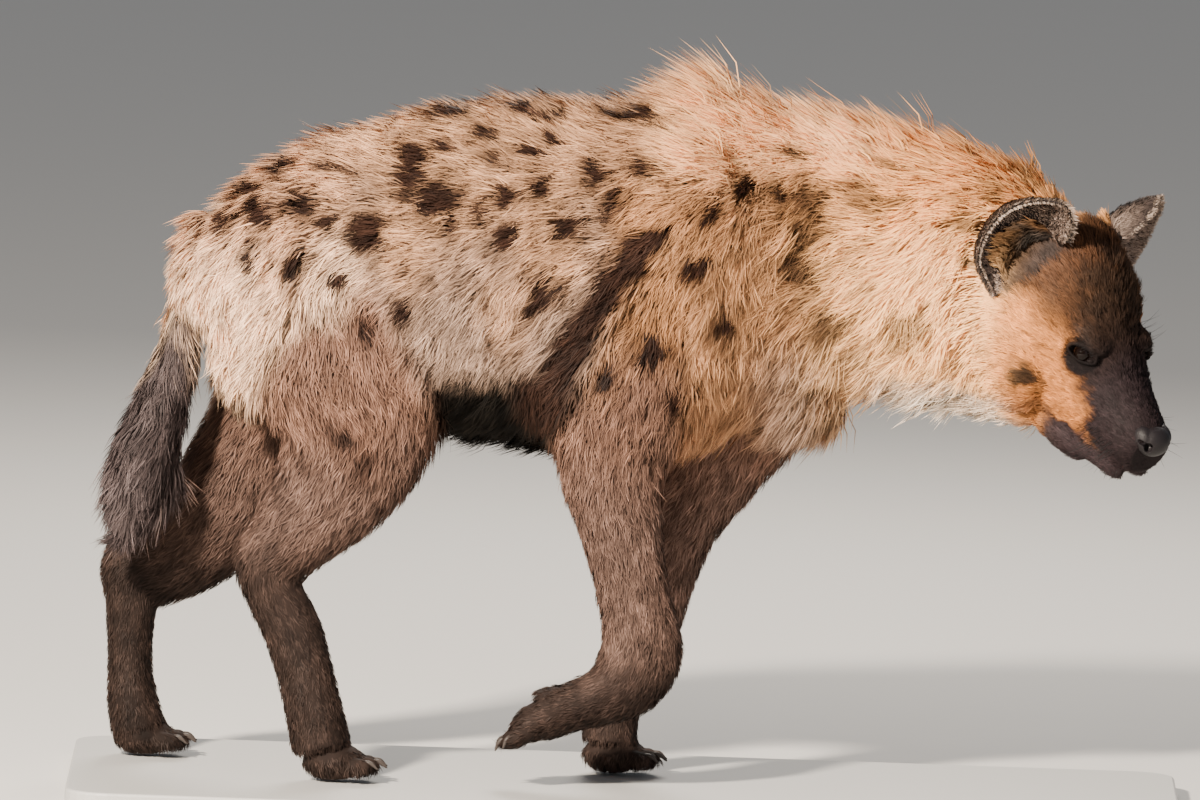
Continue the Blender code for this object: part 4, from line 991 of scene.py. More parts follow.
def trunk_colour(points, normals, patch):
    """Colour of the trunk from haunch to shoulder, with painted shade on its belly and groin."""
    x, y, z = points.T
    rise = np.clip((z - 0.4) / 0.4, 0.0, 1.0)
    shoulder = ramp(-0.085, -0.02, x) * ramp(0.9, 0.7, rise)
    groin_shade = ramp(0.49, 0.455, z) * ramp(-0.27, -0.23, x)
    breast = ramp(0.1, 0.18, x) * ramp(0.55, 0.48, z)
    return layered(
        PALE,
        (TAN, ramp(0.3, 0.75, rise + 0.12 * patch)),
        (RUMP, ramp(-0.3, -0.42, x)),
        (HAUNCH, ramp(-0.36, -0.48, x + 0.03 * patch) * ramp(0.66, 0.56, z)),
        (RUSSET, 0.75 * shoulder),
        (SANDY, ramp(-0.03, 0.05, x) * ramp(0.69, 0.76, z)),
        # Painted shade: the underside of the belly and the fold of the groin turn near black
        (BELLY_PAINTED_SHADE, ramp(-0.25, -0.75, normals[:, 2]) * ramp(0.06, 0.0, x)),
        (BELLY_PAINTED_SHADE, groin_shade * ramp(-0.06, -0.1, x)),
        (BREAST, 0.8 * breast),
    )


def neck_colour(points, normals, patch):
    """Colour of the neck from shoulder to throat."""
    x, y, z = points.T
    return layered(
        GOLD,
        (NECK_PALE, ramp(0.73, 0.62, z + 0.02 * patch)),
        (RUSSET * 1.15, ramp(0.25, 0.13, x + 0.03 * patch) * 0.75),
        (SANDY, ramp(0.73, 0.78, z) * ramp(0.3, 0.2, x)),
        (THROAT, ramp(-0.35, -0.85, normals[:, 2]) * ramp(0.24, 0.3, x)),
        (RUSSET, 0.4 * ramp(0.68, 0.73, z) * ramp(0.3, 0.38, x)),
    )


def leg_colour(leg, points, normals, patch):
    """Colour of one leg: darker downwards, and inside darker on a hind leg, paler on a foreleg."""
    x, y, z = points.T
    outward = normals[:, 1] * (1.0 if leg % 2 == 0 else -1.0)
    if leg < FIRST_LEG + 2:
        limb = mix(HAUNCH, THIGH, ramp(0.5, 0.42, z - 0.8 * (x + 0.47) + 0.02 * patch))
        dark = ramp(0.3, 0.2, z + 0.015 * patch)
        inner = 0.75
    else:
        limb = mix(RUSSET, THIGH, ramp(0.56, 0.46, z + 0.02 * patch))
        dark = ramp(0.2, 0.1, z)
        inner = 1.6
    limb = layered(limb, (LEG, ramp(0.44, 0.3, z + 0.02 * patch)), (LEG_DARK, 0.85 * dark))
    return mix(limb, limb * inner, ramp(0.2, 0.8, outward))


def coat_colour(points, normals, fields):
    """Colour of skin and coat at each point."""
    weights, places, along, coats = fields
    x, y, z = points.T
    patch = wave(points, 0.12, 31)
    border = z - 1.2 * (x + 0.556) + 0.01 * patch
    colour = (
        trunk_colour(points, normals, patch) * weights[:, TRUNK, None]
        + neck_colour(points, normals, patch) * weights[:, NECK_PART, None]
        + face_colour(points) * weights[:, HEAD_PART, None]
        + mix(TAIL_TOP, BRUSH, ramp(0.515, 0.475, border)) * weights[:, TAIL_PART, None]
    )
    for leg in range(FIRST_LEG, PARTS):
        colour = colour + leg_colour(leg, points, normals, patch) * weights[:, leg, None]
    fade = ramp(SPOT_LOW - 0.08, SPOT_LOW + 0.06, z)
    fade = fade * (1.0 - weights[:, HEAD_PART]) * (1.0 - weights[:, TAIL_PART])
    fade = fade * (1.0 - 0.35 * ramp(0.12, 0.26, x))
    # The spots, and painted shade in the crease behind the shoulder
    colour = mix(colour, SPOT, spot_share(points) * fade)
    streak = 0.5 * wave(points, 0.05, 33) + 0.5 * wave(points, 0.022, 34)
    return colour * np.exp(0.36 * streak * (1.0 - 0.8 * weights[:, HEAD_PART]))[:, None]


def downward(level, forward, down):
    """Directions to the rear, turned down by each point's level, from 0 high up to 1 low down."""
    return np.stack((-1.0 + forward * level, 0.0 * level, -down * level), axis=1)


def coat_lie(points, normals, fields):
    """Direction in which the hair lies, along the skin."""
    weights, places, along, coats = fields
    x, y, z = points.T
    flank = np.clip((0.78 - z) / 0.28, 0.0, 1.0)
    trunk = layered(
        downward(flank, 0.35, 0.95),
        (np.array((-0.45, 0.0, -0.95)), ramp(-0.34, -0.46, x) * np.clip(flank + 0.3, 0.0, 1.0)),
        (np.array((-0.06, 0.0, -1.0)), ramp(-0.44, -0.51, x)),
        (np.array((-0.45, 0.0, -0.9)), ramp(-0.08, 0.0, x) * ramp(0.76, 0.68, z)),
    )
    neck = downward(np.clip((0.74 - z) / 0.22, 0.0, 1.0), 0.25, 0.8)
    backward = -np.array(HEAD_FORWARD)
    forward, left, up = head_measures(points)
    fall = ramp(0.14, 0.03, forward) * ramp(0.06, -0.06, up)
    head = mix(backward, backward - 0.7 * np.array(HEAD_UP), fall)
    high = ramp(0.56, 0.66, z)[:, None]
    direction = (
        trunk * weights[:, TRUNK, None] + neck * weights[:, NECK_PART, None]
        + head * weights[:, HEAD_PART, None] + along[:, TAIL_PART] * weights[:, TAIL_PART, None]
    )
    for leg in range(FIRST_LEG, PARTS):
        direction = direction + (trunk * high + along[:, leg] * (1.0 - high)) * weights[:, leg, None]
    direction = unit(direction - normals * (direction * normals).sum(axis=1)[:, None])
    shaggy = np.clip(coat_depth(fields) / FULL_COAT, 0.15, 1.0)
    turn = shaggy * (0.24 * wave(points, 0.17, 41) + 0.2 * wave(points, 0.06, 42))
    aside = np.cross(normals, direction)
    return unit(direction * np.cos(turn)[:, None] + aside * np.sin(turn)[:, None])


def read_triples(items, name, kind=np.float32):
    """One value of three numbers for every item of a mesh."""
    flat = np.empty(len(items) * 3, dtype=kind)
    items.foreach_get(name, flat)
    return flat.reshape(-1, 3)


def mesh_arrays(obj):
    """Points, normals, corners and areas of a mesh's triangles."""
    mesh = obj.data
    mesh.calc_loop_triangles()
    spots = read_triples(mesh.vertices, "co").astype(float)
    normals = read_triples(mesh.vertex_normals, "vector").astype(float)
    corners = read_triples(mesh.loop_triangles, "vertices", np.int32)
    one, two, three = (spots[corners[:, index]] for index in range(3))
    areas = 0.5 * np.linalg.norm(np.cross(two - one, three - one), axis=1)
    return spots, normals, corners, areas


def softened(arrays, rounds):
    """The same arrays with normals averaged again and again with their neighbours."""
    spots, normals, corners, areas = arrays
    starts = corners.T.ravel()
    ends = np.roll(corners, -1, axis=1).T.ravel()
    for turn in range(rounds):
        gathered = [np.bincount(starts, normals[ends, axis], len(spots)) for axis in range(3)]
        normals = unit(normals + np.stack(gathered, axis=1))
    return spots, normals, corners, areas


def ear_share(points):
    """1 on the ears, 0 elsewhere."""
    share = np.zeros(len(points))
    forward, left, up = head_measures(points)
    near = (forward < 0.11) & (up > 0.0) & (np.abs(left) < 0.15) & (forward > -0.06)
    indices = np.flatnonzero(near)
    for side in SIDES:
        grid = ear_array(side, 4, 16)[:, 5:].reshape(-1, 3)
        for start in range(0, len(indices), EAR_POINTS_AT_ONCE):
            block = indices[start:start + EAR_POINTS_AT_ONCE]
            span = np.linalg.norm(points[block][:, None] - grid, axis=2)
            share[block] = np.maximum(share[block], ramp(0.009, 0.006, span.min(axis=1)))
    return share


def paint_skin(skin, arrays):
    """Give the skin the coat's colour at each of its vertices, darkened as painted shade under the
    hair.
    """
    spots, normals, corners, areas = arrays
    colour = coat_colour(spots, normals, survey(spots)) * SKIN_SHADE
    forward, left, up = head_measures(spots)
    opens = np.array(HEAD_FORWARD) + np.array(HEAD_LEFT) * np.sign(left)[:, None]
    inside = ramp(-0.2, 0.2, (normals * opens).sum(axis=1))
    # Ear skin darkened to 0.7 as painted shade under its hair, the inside darkest
    colour = mix(colour, mix(EAR_BACK * 0.7, EAR_INSIDE_AND_SHADE * 0.7, inside), ear_share(spots))
    layer = skin.data.color_attributes.new("coat", "FLOAT_COLOR", "POINT")
    flat = np.ones((len(spots), 4), dtype=np.float32)
    flat[:, :3] = np.clip(colour, 0.0, 1.0)
    layer.data.foreach_set("color", flat.ravel())


def chart(points, part_of, fields, piece_parts):
    """Place of each root on an unwrap of the skin: round each limb and along it."""
    weights, places, along, coats = fields
    u = np.zeros(len(points))
    v = np.zeros(len(points))
    for strip, part in enumerate(piece_parts):
        chosen = part_of == part
        if not chosen.any():
            continue
        middles, directions, radii, coat, place = SAMPLES[part]
        last = len(place) - 1
        nearest = np.clip(np.round(places[chosen, part] * last).astype(int), 0, last)
        offset = points[chosen] - middles[nearest]
        axis = directions[nearest]
        side = np.cross(axis, np.array((0.0, 0.0, 1.0)))
        flat = np.linalg.norm(side, axis=1) < 0.3
        side[flat] = np.cross(axis[flat], np.array((1.0, 0.0, 0.0)))
        side /= np.linalg.norm(side, axis=1)[:, None]
        other = np.cross(axis, side)
        angle = np.arctan2((offset * other).sum(axis=1), (offset * side).sum(axis=1))
        u[chosen] = (strip + 0.03 + 0.94 * (angle / math.tau + 0.5)) / len(piece_parts)
        v[chosen] = places[chosen, part] + (offset * axis).sum(axis=1) / 0.6
    low, high = v.min(), v.max()
    return u, 0.02 + 0.96 * (v - low) / max(high - low, 1e-6)


def build_blades(name, paths, sides, widths, colours, uv, soft=None):
    """Make one mesh of flat, tapered tufts from their middles, sides, widths and colours."""
    count, rows = paths.shape[:2]
    rank = np.repeat(np.arange(rows), 2)[:-1]
    per_tuft = len(rank)
    half = sides[:, :-1] * widths[:, :, None]
    vertices = paths[:, rank]
    vertices[:, 0:-1:2] -= half
    vertices[:, 1::2] += half
    vertices[:, :, 2] = np.maximum(vertices[:, :, 2], FLOOR_LEVEL)
    quads = [(2 * row, 2 * row + 1, 2 * row + 3, 2 * row + 2) for row in range(rows - 2)]
    tip = tuple(range(per_tuft - 3, per_tuft))
    corners = np.array(sum(quads, ()) + tip, dtype=np.int32)
    tufts = np.arange(count, dtype=np.int32)[:, None]
    loop_vertices = (tufts * per_tuft + corners).ravel()
    loop_starts = (tufts * len(corners) + 4 * np.arange(rows - 1, dtype=np.int32)).ravel()

    mesh = bpy.data.meshes.new(name)
    mesh.vertices.add(count * per_tuft)
    mesh.vertices.foreach_set("co", vertices.astype(np.float32).ravel())
    mesh.loops.add(len(loop_vertices))
    mesh.loops.foreach_set("vertex_index", loop_vertices)
    mesh.polygons.add(len(loop_starts))
    mesh.polygons.foreach_set("loop_start", loop_starts)
    mesh.update(calc_edges=True)
    mesh.validate()
    mesh.shade_smooth()

    shade = np.ones((count, per_tuft, 4), dtype=np.float32)
    shade[:, :, :3] = colours[:, rank]
    shade[:, :, :3] *= np.minimum(1.0, BRIGHTEST / shade[:, :, :3].max(axis=2, keepdims=True))
    layer = mesh.color_attributes.new("coat", "FLOAT_COLOR", "POINT")
    layer.data.foreach_set("color", np.clip(shade, 0.0, 1.0).ravel())
    if soft is not None:
        mesh.normals_split_custom_set_from_vertices(np.repeat(soft, per_tuft, axis=0))

    across = np.array([-0.5, 0.5] * (rows - 1) + [0.0]) * UV_PATCH
    along = np.linspace(-0.5, 0.5, rows)[rank] * UV_PATCH
    places = np.stack((uv[0][:, None] + across, uv[1][:, None] + along), axis=2)
    layer = mesh.uv_layers.new(name="OFBake")
    layer.data.foreach_set("uv", places.reshape(-1, 2)[loop_vertices].astype(np.float32).ravel())
    return add_object(name, mesh)


def scatter(arrays, density, count, draw):
    """Random places on the skin: points and normals."""
    spots, normals, corners, areas = arrays
    load = areas * density
    chosen = draw.choice(len(areas), size=count, p=load / load.sum())
    a = np.sqrt(draw.random(count))
    b = draw.random(count)
    shares = np.stack((1.0 - a, a * (1.0 - b), a * b), axis=1)[:, :, None]
    trio = corners[chosen]
    return (spots[trio] * shares).sum(axis=1), unit((normals[trio] * shares).sum(axis=1))


def shagginess(depth):
    """0 where the coat is shortest, 1 where it is long."""
    return np.clip(depth / FULL_COAT, 0.0, 1.0)


def clump_field(arrays):
    """Clumps all over the skin: a tree of their middles, the middles and their own traits."""
    spots, normals, corners, areas = arrays
    draw = np.random.default_rng(70)
    shaggy = shagginess(coat_depth(survey(spots[corners].mean(axis=1))))
    middles, facing = scatter(arrays, 1.0 / (0.005 + 0.006 * shaggy) ** 2, CLUMPS, draw)
    tree = KDTree(CLUMPS)
    for index, middle in enumerate(middles):
        tree.insert(middle, index)
    tree.balance()
    return tree, middles, draw.normal(size=(CLUMPS, 4))


def row_shares(rows):
    """Place of each row along a tuft, from 0 to 1."""
    return np.arange(rows) / (rows - 1)


def grow(name, roots, normals, lie, lengths, heights, widths, colour_at, uv, rows, draw,
         clumps, gather):
    """Grow tufts from their roots: they rise, then bend along the lie, and gather in clumps."""
    tree, middles, traits = clumps
    owner = np.array([tree.find(root)[1] for root in roots])
    lean, stretch, lift, tone = traits[owner].T
    count = len(roots)
    swing = 0.17 * lean + draw.normal(0.0, 0.12, count)
    sideways = unit(np.cross(normals, lie))
    direction = unit(lie + sideways * np.tan(swing)[:, None])
    long = lengths * np.exp(0.12 * stretch + draw.normal(0.0, 0.14, count))
    high = heights * np.exp(0.16 * lift + draw.normal(0.0, 0.14, count))
    pull = (middles[owner] - roots) * gather
    pull *= np.minimum(1.0, LONGEST_PULL / np.maximum(np.linalg.norm(pull, axis=1), 1e-6))[:, None]
    bend = draw.normal(0.0, 0.1, count) * long
    paths = np.empty((count, rows, 3))
    for row, s in enumerate(row_shares(rows)):
        paths[:, row] = (
            roots
            + direction * (long * s)[:, None]
            + normals * (high * (1.0 - (1.0 - s) ** 2) - ROOT_SINKS)[:, None]
            + pull * s ** 1.3
            + sideways * (bend * s * s)[:, None]
        )
    steps = np.gradient(paths, axis=1)
    roll = draw.normal(0.0, 0.55, count)
    facing = unit(normals + sideways * np.tan(np.clip(roll, -1.2, 1.2))[:, None])
    sides = unit(np.cross(steps, facing[:, None]))
    width = 0.5 * widths * np.exp(draw.normal(0.0, 0.2, count))
    tone = np.exp(0.14 * tone + draw.normal(0.0, 0.2, count))
    base, tips = colour_at(0.3 * paths[:, -2] + 0.7 * paths[:, -1], normals)
    s = row_shares(rows)[:, None]
    shades = (base[:, None] * (1.0 - s) + tips[:, None] * s) * tone[:, None, None]
    soft = unit(unit(np.cross(sides[:, 1], steps[:, 1])) + NORMAL_SOFTENS * normals)
    return build_blades(
        name, paths, sides, width[:, None] * np.array(TUFT_PROFILES[rows]), shades, uv, soft,
    )


def thinned(count):
    return int(count * (1.0))


def coat_sizes(name, points, facing, depth):
    """Length of the tufts, and the height of their tips above the skin."""
    x, y, z = points.T
    if name in LEG_PIECES:
        return 0.005 + 1.1 * depth, 0.001 + depth * LEG_SHARE
    if name in HEAD_PIECES:
        low = 0.35 + 0.65 * ramp(0.022, 0.036, eye_distance(points))
        return (0.0042 + 0.95 * depth) * (0.5 + 0.5 * low), (0.001 + 0.55 * depth) * low
    if name == "coat_tail":
        return 0.014 + 1.5 * depth, depth * SKIN_SHARE
    lengths = 0.007 + 0.78 * depth
    heights = depth * SKIN_SHARE
    if name in ("coat_neck", "coat_shoulder"):
        crest = ramp(0.55, 0.95, facing[:, 2])
        mane = crest * ramp(0.0, 0.06, x) * ramp(0.44, 0.38, x)
        withers = crest * np.exp(-((x - 0.105) / 0.032) ** 2)
        throat = ramp(-0.5, -0.9, facing[:, 2]) * ramp(0.25, 0.3, x)
        lengths = lengths + 0.016 * mane + 0.016 * withers
        heights = heights + 0.005 * mane + 0.02 * withers + 0.006 * throat
    return lengths, heights


def make_coat(arrays, clumps):
    """Grow the coat of each region as one mesh."""
    spots, normals, corners, areas = arrays
    middles = spots[corners].mean(axis=1)
    owner = survey(middles)[0].argmax(axis=1)
    forward, left, up = head_measures(middles)
    bare = (ear_share(middles) > 0.4) | (eye_distance(middles) < EYE_RADIUS + BARE_ROUND_EYE)
    bare |= (forward > NOSE_AT[0] + 0.004) | (middles[:, 2] < 0.004)
    pieces = []
    fine = softened(arrays, FINE_ROUNDS)
    broad = softened(fine, BROAD_ROUNDS)
    for number, piece in enumerate(COAT_PIECES):
        name, parts, first, last, count, width, rows, gather, slot = piece
        draw = np.random.default_rng(100 + number)
        chosen = np.isin(owner, parts) & (middles[:, 0] >= first) & (middles[:, 0] < last) & ~bare
        density = chosen.astype(float)
        if name in LEG_PIECES:
            density *= 1.0 + 0.6 * ramp(0.42, 0.25, middles[:, 2])
        if name in HEAD_PIECES:
            density *= 1.0 + 0.8 * ramp(0.1, 0.18, forward)
        smooth = broad if parts[0] in (TRUNK, NECK_PART) else fine
        points, facing = scatter(smooth, density, thinned(count), draw)
        own = survey(points)
        depth = coat_depth(own)
        shaggy = shagginess(depth)
        lengths, heights = coat_sizes(name, points, facing, depth)
        lengths = lengths * (1.0 - 0.5 * cup_share(points))
        widths = width * (0.6 + 0.4 * shaggy)
        if name in HEAD_PIECES:
            widths = width * (0.7 + 0.5 * np.clip(depth / 0.015, 0.0, 1.0))
            widths = widths * (1.0 - 0.22 * ramp(0.08, 0.18, head_measures(points)[0]))
        light = np.where(draw.random(len(points)) < PALE_HAIRS * shaggy, 1.35, 1.0)

        def colour_at(seen, outward, shaggy=shaggy, light=light):
            colour = coat_colour(seen, outward, survey(seen)) * light[:, None]
            # Roots painted darker as shade deep in the coat, the more so where it is long; tips
            # lighter
            return colour * (0.62 - 0.26 * shaggy)[:, None], colour * (1.1 + 0.34 * shaggy)[:, None]

        pieces.append((grow(
            name, points, facing, coat_lie(points, facing, own), lengths, heights, widths, colour_at,
            chart(points, own[0].argmax(axis=1), own, parts), rows, draw, clumps, gather,
        ), slot))
    return pieces


def ear_roots(side, count, draw):
    """Random roots on both faces of an ear, with their normals, lies, places, faces and side."""
    grid = ear_array(side, EAR_STEPS, EAR_LEVELS)
    columns = len(grid) - 1
    u = draw.random(count) * columns
    v = (0.12 + 0.88 * np.sqrt(draw.random(count))) * EAR_LEVELS
    i = np.minimum(u.astype(int), columns - 1)
    j = np.minimum(v.astype(int), EAR_LEVELS - 1)
    fu = (u - i)[:, None]
    fv = (v - j)[:, None]
    low = grid[i, j] * (1.0 - fu) + grid[i + 1, j] * fu
    high = grid[i, j + 1] * (1.0 - fu) + grid[i + 1, j + 1] * fu
    outward = unit(high - low)
    across = unit(grid[i + 1, j] - grid[i, j])
    normal = unit(np.cross(across, outward)) * side
    front = draw.random(count) < 0.5
    normal = np.where(front[:, None], normal, -normal)
    level = v / EAR_LEVELS
    root = low * (1.0 - fv) + high * fv + normal * ear_half(level)[:, None]
    lie = unit(outward + across * draw.normal(0.0, 0.15, count)[:, None])
    return root, normal, lie, u / columns, level, front, np.full(count, side < 0.0)


def make_ear_coat(clumps):
    """Short coat on both faces of each ear, with a paler rim."""
    draw = np.random.default_rng(300)
    roots, facing, lies, column, levels, fronts, near = (
        np.concatenate(both)
        for both in zip(*(ear_roots(side, thinned(EAR_TUFTS), draw) for side in SIDES))
    )
    hairs = fronts * ramp(0.6, 0.8, column)
    band = ramp(0.7, 0.85, levels) * ramp(0.75, 0.45, column)
    rim = ramp(0.92, 0.99, levels + 0.02 * draw.normal(size=len(levels)))
    colours = layered(
        EAR_BACK * 1.7,
        # Inner faces of the ear: their own dark colour, darker still as painted shade
        (EAR_INSIDE_AND_SHADE, fronts.astype(float)),
        (EAR_BACK * 1.1, hairs * ramp(1.0, 0.3, levels)),
        (EAR_BACK * 1.4, band * fronts),
        (EAR_EDGE, rim),
    ) * np.exp(draw.normal(0.0, 0.18, len(levels)))[:, None]
    lengths = (np.where(fronts, 0.0065, 0.006) + 0.007 * hairs) * (1.0 - 0.35 * rim)
    uv = ((2.0 * near + fronts + 0.04 + 0.92 * column) / 4.0, 0.03 + 0.94 * levels)
    # Roots painted darker than tips as shade within the coat
    return grow(
        "coat_ears", roots, facing, lies, lengths, np.where(fronts, 0.0036, 0.0032),
        np.full(len(roots), EAR_TUFT_WIDTH), lambda seen, outward: (colours * 0.75, colours * 1.15),
        uv, 3, draw, clumps, 0.0,
    )


def make_bristles(skin):
    """Whiskers, lashes and brow hairs as long, thin tapered strands."""
    draw = np.random.default_rng(500)
    roots = []
    directions = []
    sizes = []
    for number, first, last, direction, length, width in BRISTLES:
        for side, index in [(side, index) for side in SIDES for index in range(number)]:
            t = (index + draw.random()) / number
            place = [a + (b - a) * t for a, b in zip(first, last)]
            aim = head_point(0.0, side, 0.0) - head_point(0.0, 0.0, 0.0)
            start = head_point(place[0], 0.0, place[2] + draw.normal(0.0, 0.003)) + aim * 0.2
            spot = cast(skin, start, -aim)
            if spot is None:
                continue
            turn = [value + draw.normal(0.0, 0.16) for value in direction]
            roots.append(tuple(spot))
            directions.append(tuple(
                HEAD_FORWARD * turn[0] + HEAD_LEFT * turn[1] * side + HEAD_UP * turn[2]
            ))
            sizes.append((length * draw.uniform(0.6, 1.1), width))
    count = len(roots)
    sizes = np.array(sizes)
    s = row_shares(BRISTLE_ROWS)[:, None]
    sag = np.array(HEAD_UP) * -0.1 - np.array(HEAD_FORWARD) * 0.22
    bends = unit(np.array(directions))[:, None] * s + sag * s * s
    paths = np.array(roots)[:, None] + bends * sizes[:, :1, None]
    sides = unit(np.cross(np.gradient(paths, axis=1), np.array((0.0, 1.0, 0.15))))
    widths = 0.5 * sizes[:, 1:] * np.linspace(1.0, 0.35, BRISTLE_ROWS - 1)
    shades = np.full(paths.shape, BRISTLE_SHADE)
    uv = (np.linspace(0.02, 0.98, count), np.full(count, 0.5))
    return build_blades("bristles", paths, sides, widths, shades, uv)


def set_inputs(node, values):
    """Set the named inputs of a node."""
    for word, value in values.items():
        node.inputs[word].default_value = value


def new_material(name, values):
    """A material, its node tree and its shader, with the shader's values set."""
    material = bpy.data.materials.new(name)
    material.use_nodes = True
    shader = material.node_tree.nodes["Principled BSDF"]
    set_inputs(shader, values)
    return material, material.node_tree, shader


def add_noise(tree, size, detail):
    """Noise that keeps its place on the object."""
    place = tree.nodes.new("ShaderNodeTexCoord")
    noise = tree.nodes.new("ShaderNodeTexNoise")
    set_inputs(noise, {"Scale": size, "Detail": detail})
    tree.links.new(place.outputs["Object"], noise.inputs["Vector"])
    return noise.outputs["Fac"]


def add_bump(tree, shader, noise, strength, depth):
    """Let noise bump the surface of a shader."""
    bump = tree.nodes.new("ShaderNodeBump")
    set_inputs(bump, {"Strength": strength, "Distance": depth})
    tree.links.new(noise, bump.inputs["Height"])
    tree.links.new(bump.outputs["Normal"], shader.inputs["Normal"])


def coat_material(name):
    """Hair or skin that takes its colour from the mesh."""
    roughness, grain, depth = COATS[name]
    values = {"Roughness": roughness, "Specular IOR Level": HAIR_GLOSS}
    material, tree, shader = new_material(name, values)
    colour = tree.nodes.new("ShaderNodeAttribute")
    colour.attribute_name = "coat"
    tree.links.new(colour.outputs["Color"], shader.inputs["Base Color"])
    if depth:
        add_bump(tree, shader, add_noise(tree, grain, 4.0), 0.6, depth)
    return material


def plain_material(name):
    """One colour with a little unevenness."""
    colour, roughness, gloss, coat, grain, depth = PAINTS[name]
    material, tree, shader = new_material(name, {
        "Base Color": (*colour, 1.0), "Roughness": roughness, "Specular IOR Level": gloss,
        "Coat Weight": coat, "Coat Roughness": 0.04,
    })
    noise = add_noise(tree, grain, 3.0)
    spread = tree.nodes.new("ShaderNodeMapRange")
    set_inputs(spread, {"To Min": max(roughness - 0.05, 0.02), "To Max": min(roughness + 0.05, 1.0)})
    tree.links.new(noise, spread.inputs["Value"])
    tree.links.new(spread.outputs["Result"], shader.inputs["Roughness"])
    if depth:
        add_bump(tree, shader, noise, 0.8, depth)
    return material


def make_nose():
    """Nose pad with its wings and nostrils."""
    form = bmesh.new()
    add_ball(form, head_point(*NOSE_AT), NOSE_RADII, 0.0, HEAD_TURN)
    for side in SIDES:
        add_ball(form, head_place(WING_AT, side), WING_RADII, 0.0, HEAD_TURN)
    nose = fused("nose_pad", form, NOSE_CELL)
    for side in SIDES:
        form = bmesh.new()
        for place, radii, degrees in ((NOSTRIL_AT, NOSTRIL_RADII, 45.0), (SLIT_AT, SLIT_RADII, -55.0)):
            turn = HEAD_TURN @ Matrix.Rotation(math.radians(degrees * side), 4, "Z")
            add_ball(form, head_place(place, side), radii, 0.0, turn)
        combine(nose, fused("nostril", form, NOSE_CELL, 1), "DIFFERENCE")
    soften(nose, 0.5, 2)
    nose.data.shade_smooth()
    return nose


def make_eye(name, side):
    """One glossy eye with a slight bulge of the cornea."""
    middle, out, rise, across = eye_axes(side)
    form = bmesh.new()
    bmesh.ops.create_uvsphere(form, u_segments=64, v_segments=40, radius=EYE_RADIUS * EYE_SHARE)
    for vertex in form.verts:
        facing = vertex.co.normalized().z
        if facing > CORNEA_FROM:
            bulge = ((facing - CORNEA_FROM) / (1.0 - CORNEA_FROM)) ** 1.5
            vertex.co *= 1.0 + CORNEA_STANDS * bulge
    place = Matrix.Translation(middle) @ turned(across, rise, out)
    bmesh.ops.transform(form, matrix=place, verts=form.verts)
    eye = new_object(name, form)
    eye.data.shade_smooth()
    return eye


def claw_places(middle, forward, up):
    """Root and direction of each claw of a paw."""
    across = up.cross(forward)
    for place, way in toe_ways(forward, up):
        reach = CLAW_REACH[abs(place) > 1.0]
        root = middle + forward * reach + across * place * (TOE_SPREAD + 0.0012) - up * 0.001
        yield root, (way - up * 0.35).normalized()


def make_claws():
    """Blunt, slightly bent claws of every paw."""
    form = bmesh.new()
    for name, middle, forward, up in PAWS:
        for root, direction in claw_places(middle, forward, up):
            side = direction.cross(up).normalized()
            top = side.cross(direction).normalized()
            rings = []
            for step in range(CLAW_STEPS):
                t = step / (CLAW_STEPS - 1)
                centre = root - direction * CLAW_SINKS + direction * CLAW_LENGTH * t
                centre = centre + top * CLAW_BENDS * math.sin(math.pi * min(t * 1.1, 1.0))
                radius = CLAW_RADIUS * (1.0 - CLAW_TAPERS * t ** 1.6)
                ring = oval(centre, side * radius, top, 0.8, radius, CLAW_SIDES)
                for point in ring:
                    point.z = max(point.z, FLOOR_LEVEL)
                rings.append(ring)
            add_rings(form, rings)
    claws = new_object("claws", form)
    claws.data.shade_smooth()
    return claws


def aimed(way):
    """The turn of a lamp or a camera that looks along a direction."""
    return way.to_track_quat("-Z", "Y")


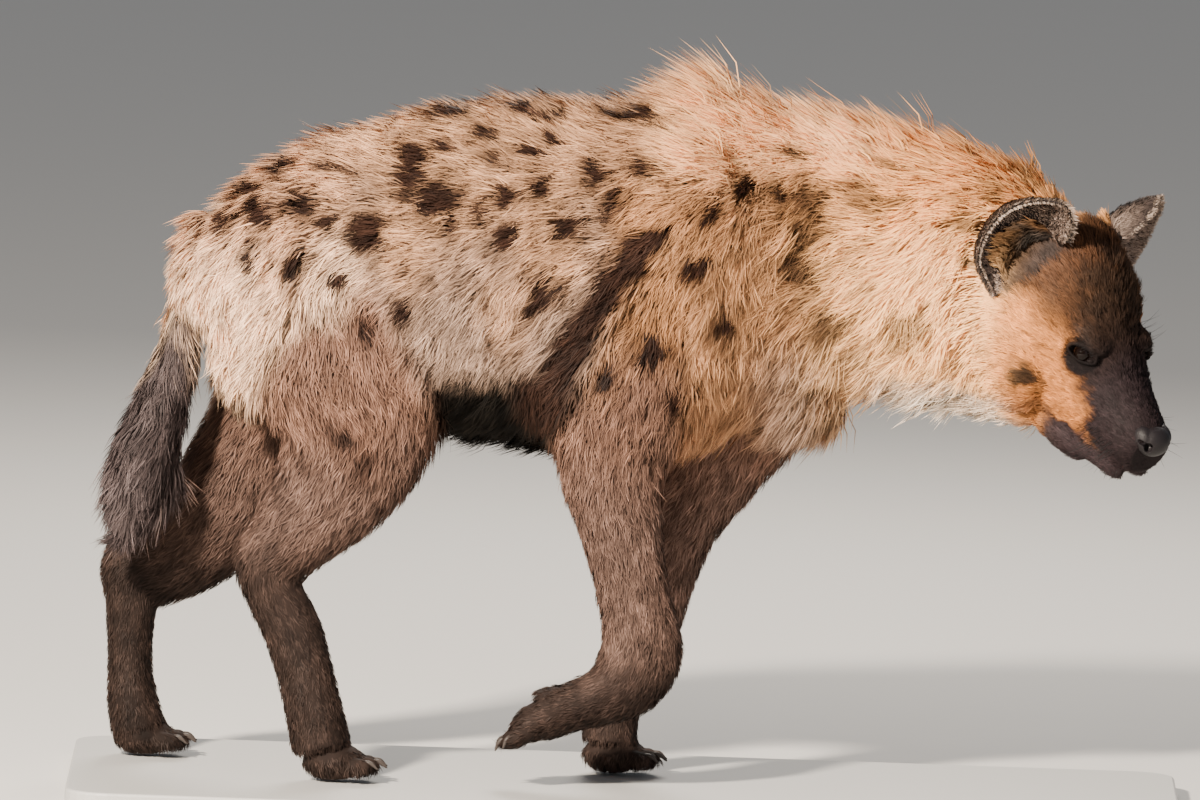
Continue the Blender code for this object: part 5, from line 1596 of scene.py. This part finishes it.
def place_camera():
    """Look at the right side from a little above."""
    view = Vector((0.0, math.cos(CAMERA_RISE), -math.sin(CAMERA_RISE)))
    lens = bpy.data.cameras.new("camera")
    lens.sensor_width = SENSOR
    lens.lens = SENSOR * CAMERA_DISTANCE / VIEW_WIDTH
    lens.clip_end = 100.0
    camera = add_object("camera", lens)
    turn = aimed(view).to_matrix() @ Matrix.Rotation(CAMERA_ROLL, 3, "Z")
    camera.matrix_world = Matrix.Translation(CAMERA_AIM - view * CAMERA_DISTANCE) @ turn.to_4x4()
    bpy.context.scene.camera = camera


def make_studio():
    """Floor, light and camera."""
    form = bmesh.new()
    bmesh.ops.create_grid(form, x_segments=1, y_segments=1, size=FLOOR_SIZE)
    floor = new_object("floor", form)
    floor.data.materials.append(plain_material("floor_paint"))
    world = bpy.data.worlds.new("studio")
    world.use_nodes = True
    set_inputs(world.node_tree.nodes["Background"], SKY)
    bpy.context.scene.world = world
    for name, place, power, size, colour in LAMPS:
        lamp = bpy.data.lights.new(name, "AREA")
        lamp.energy = power
        lamp.size = size
        lamp.color = colour
        obj = add_object(name, lamp)
        obj.location = place
        obj.rotation_euler = aimed(LAMPS_AIM - Vector(place)).to_euler()
    place_camera()


def finish_piece(obj, material, replaced=()):
    """Set a piece on the base, give it its material and tie it to the body."""
    obj.location.z += STAND
    obj.data.materials.clear()
    obj.data.materials.append(material)
    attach(obj, "root")
    if replaced:
        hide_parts(*replaced)


def main():
    """Make every piece and the studio."""
    skin = make_skin()
    arrays = mesh_arrays(skin)
    paint_skin(skin, arrays)
    hair = coat_material("hair")
    clumps = clump_field(arrays)
    for piece, slot in make_coat(arrays, clumps):
        finish_piece(piece, hair)
    finish_piece(make_ear_coat(clumps), hair)
    finish_piece(make_bristles(skin), hair)
    finish_piece(skin, coat_material("skin"), FLESH)
    finish_piece(make_nose(), plain_material("nose_skin"), ("nose",))
    gloss = plain_material("eye_gloss")
    for side, word in zip(SIDES, ("left", "right")):
        finish_piece(make_eye("eyeball_" + word, side), gloss, ("eye_" + word,))
    finish_piece(make_claws(), plain_material("claw_horn"))
    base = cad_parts["stand_base"]
    base.data.materials.clear()
    base.data.materials.append(plain_material("base_paint"))
    make_studio()


main()
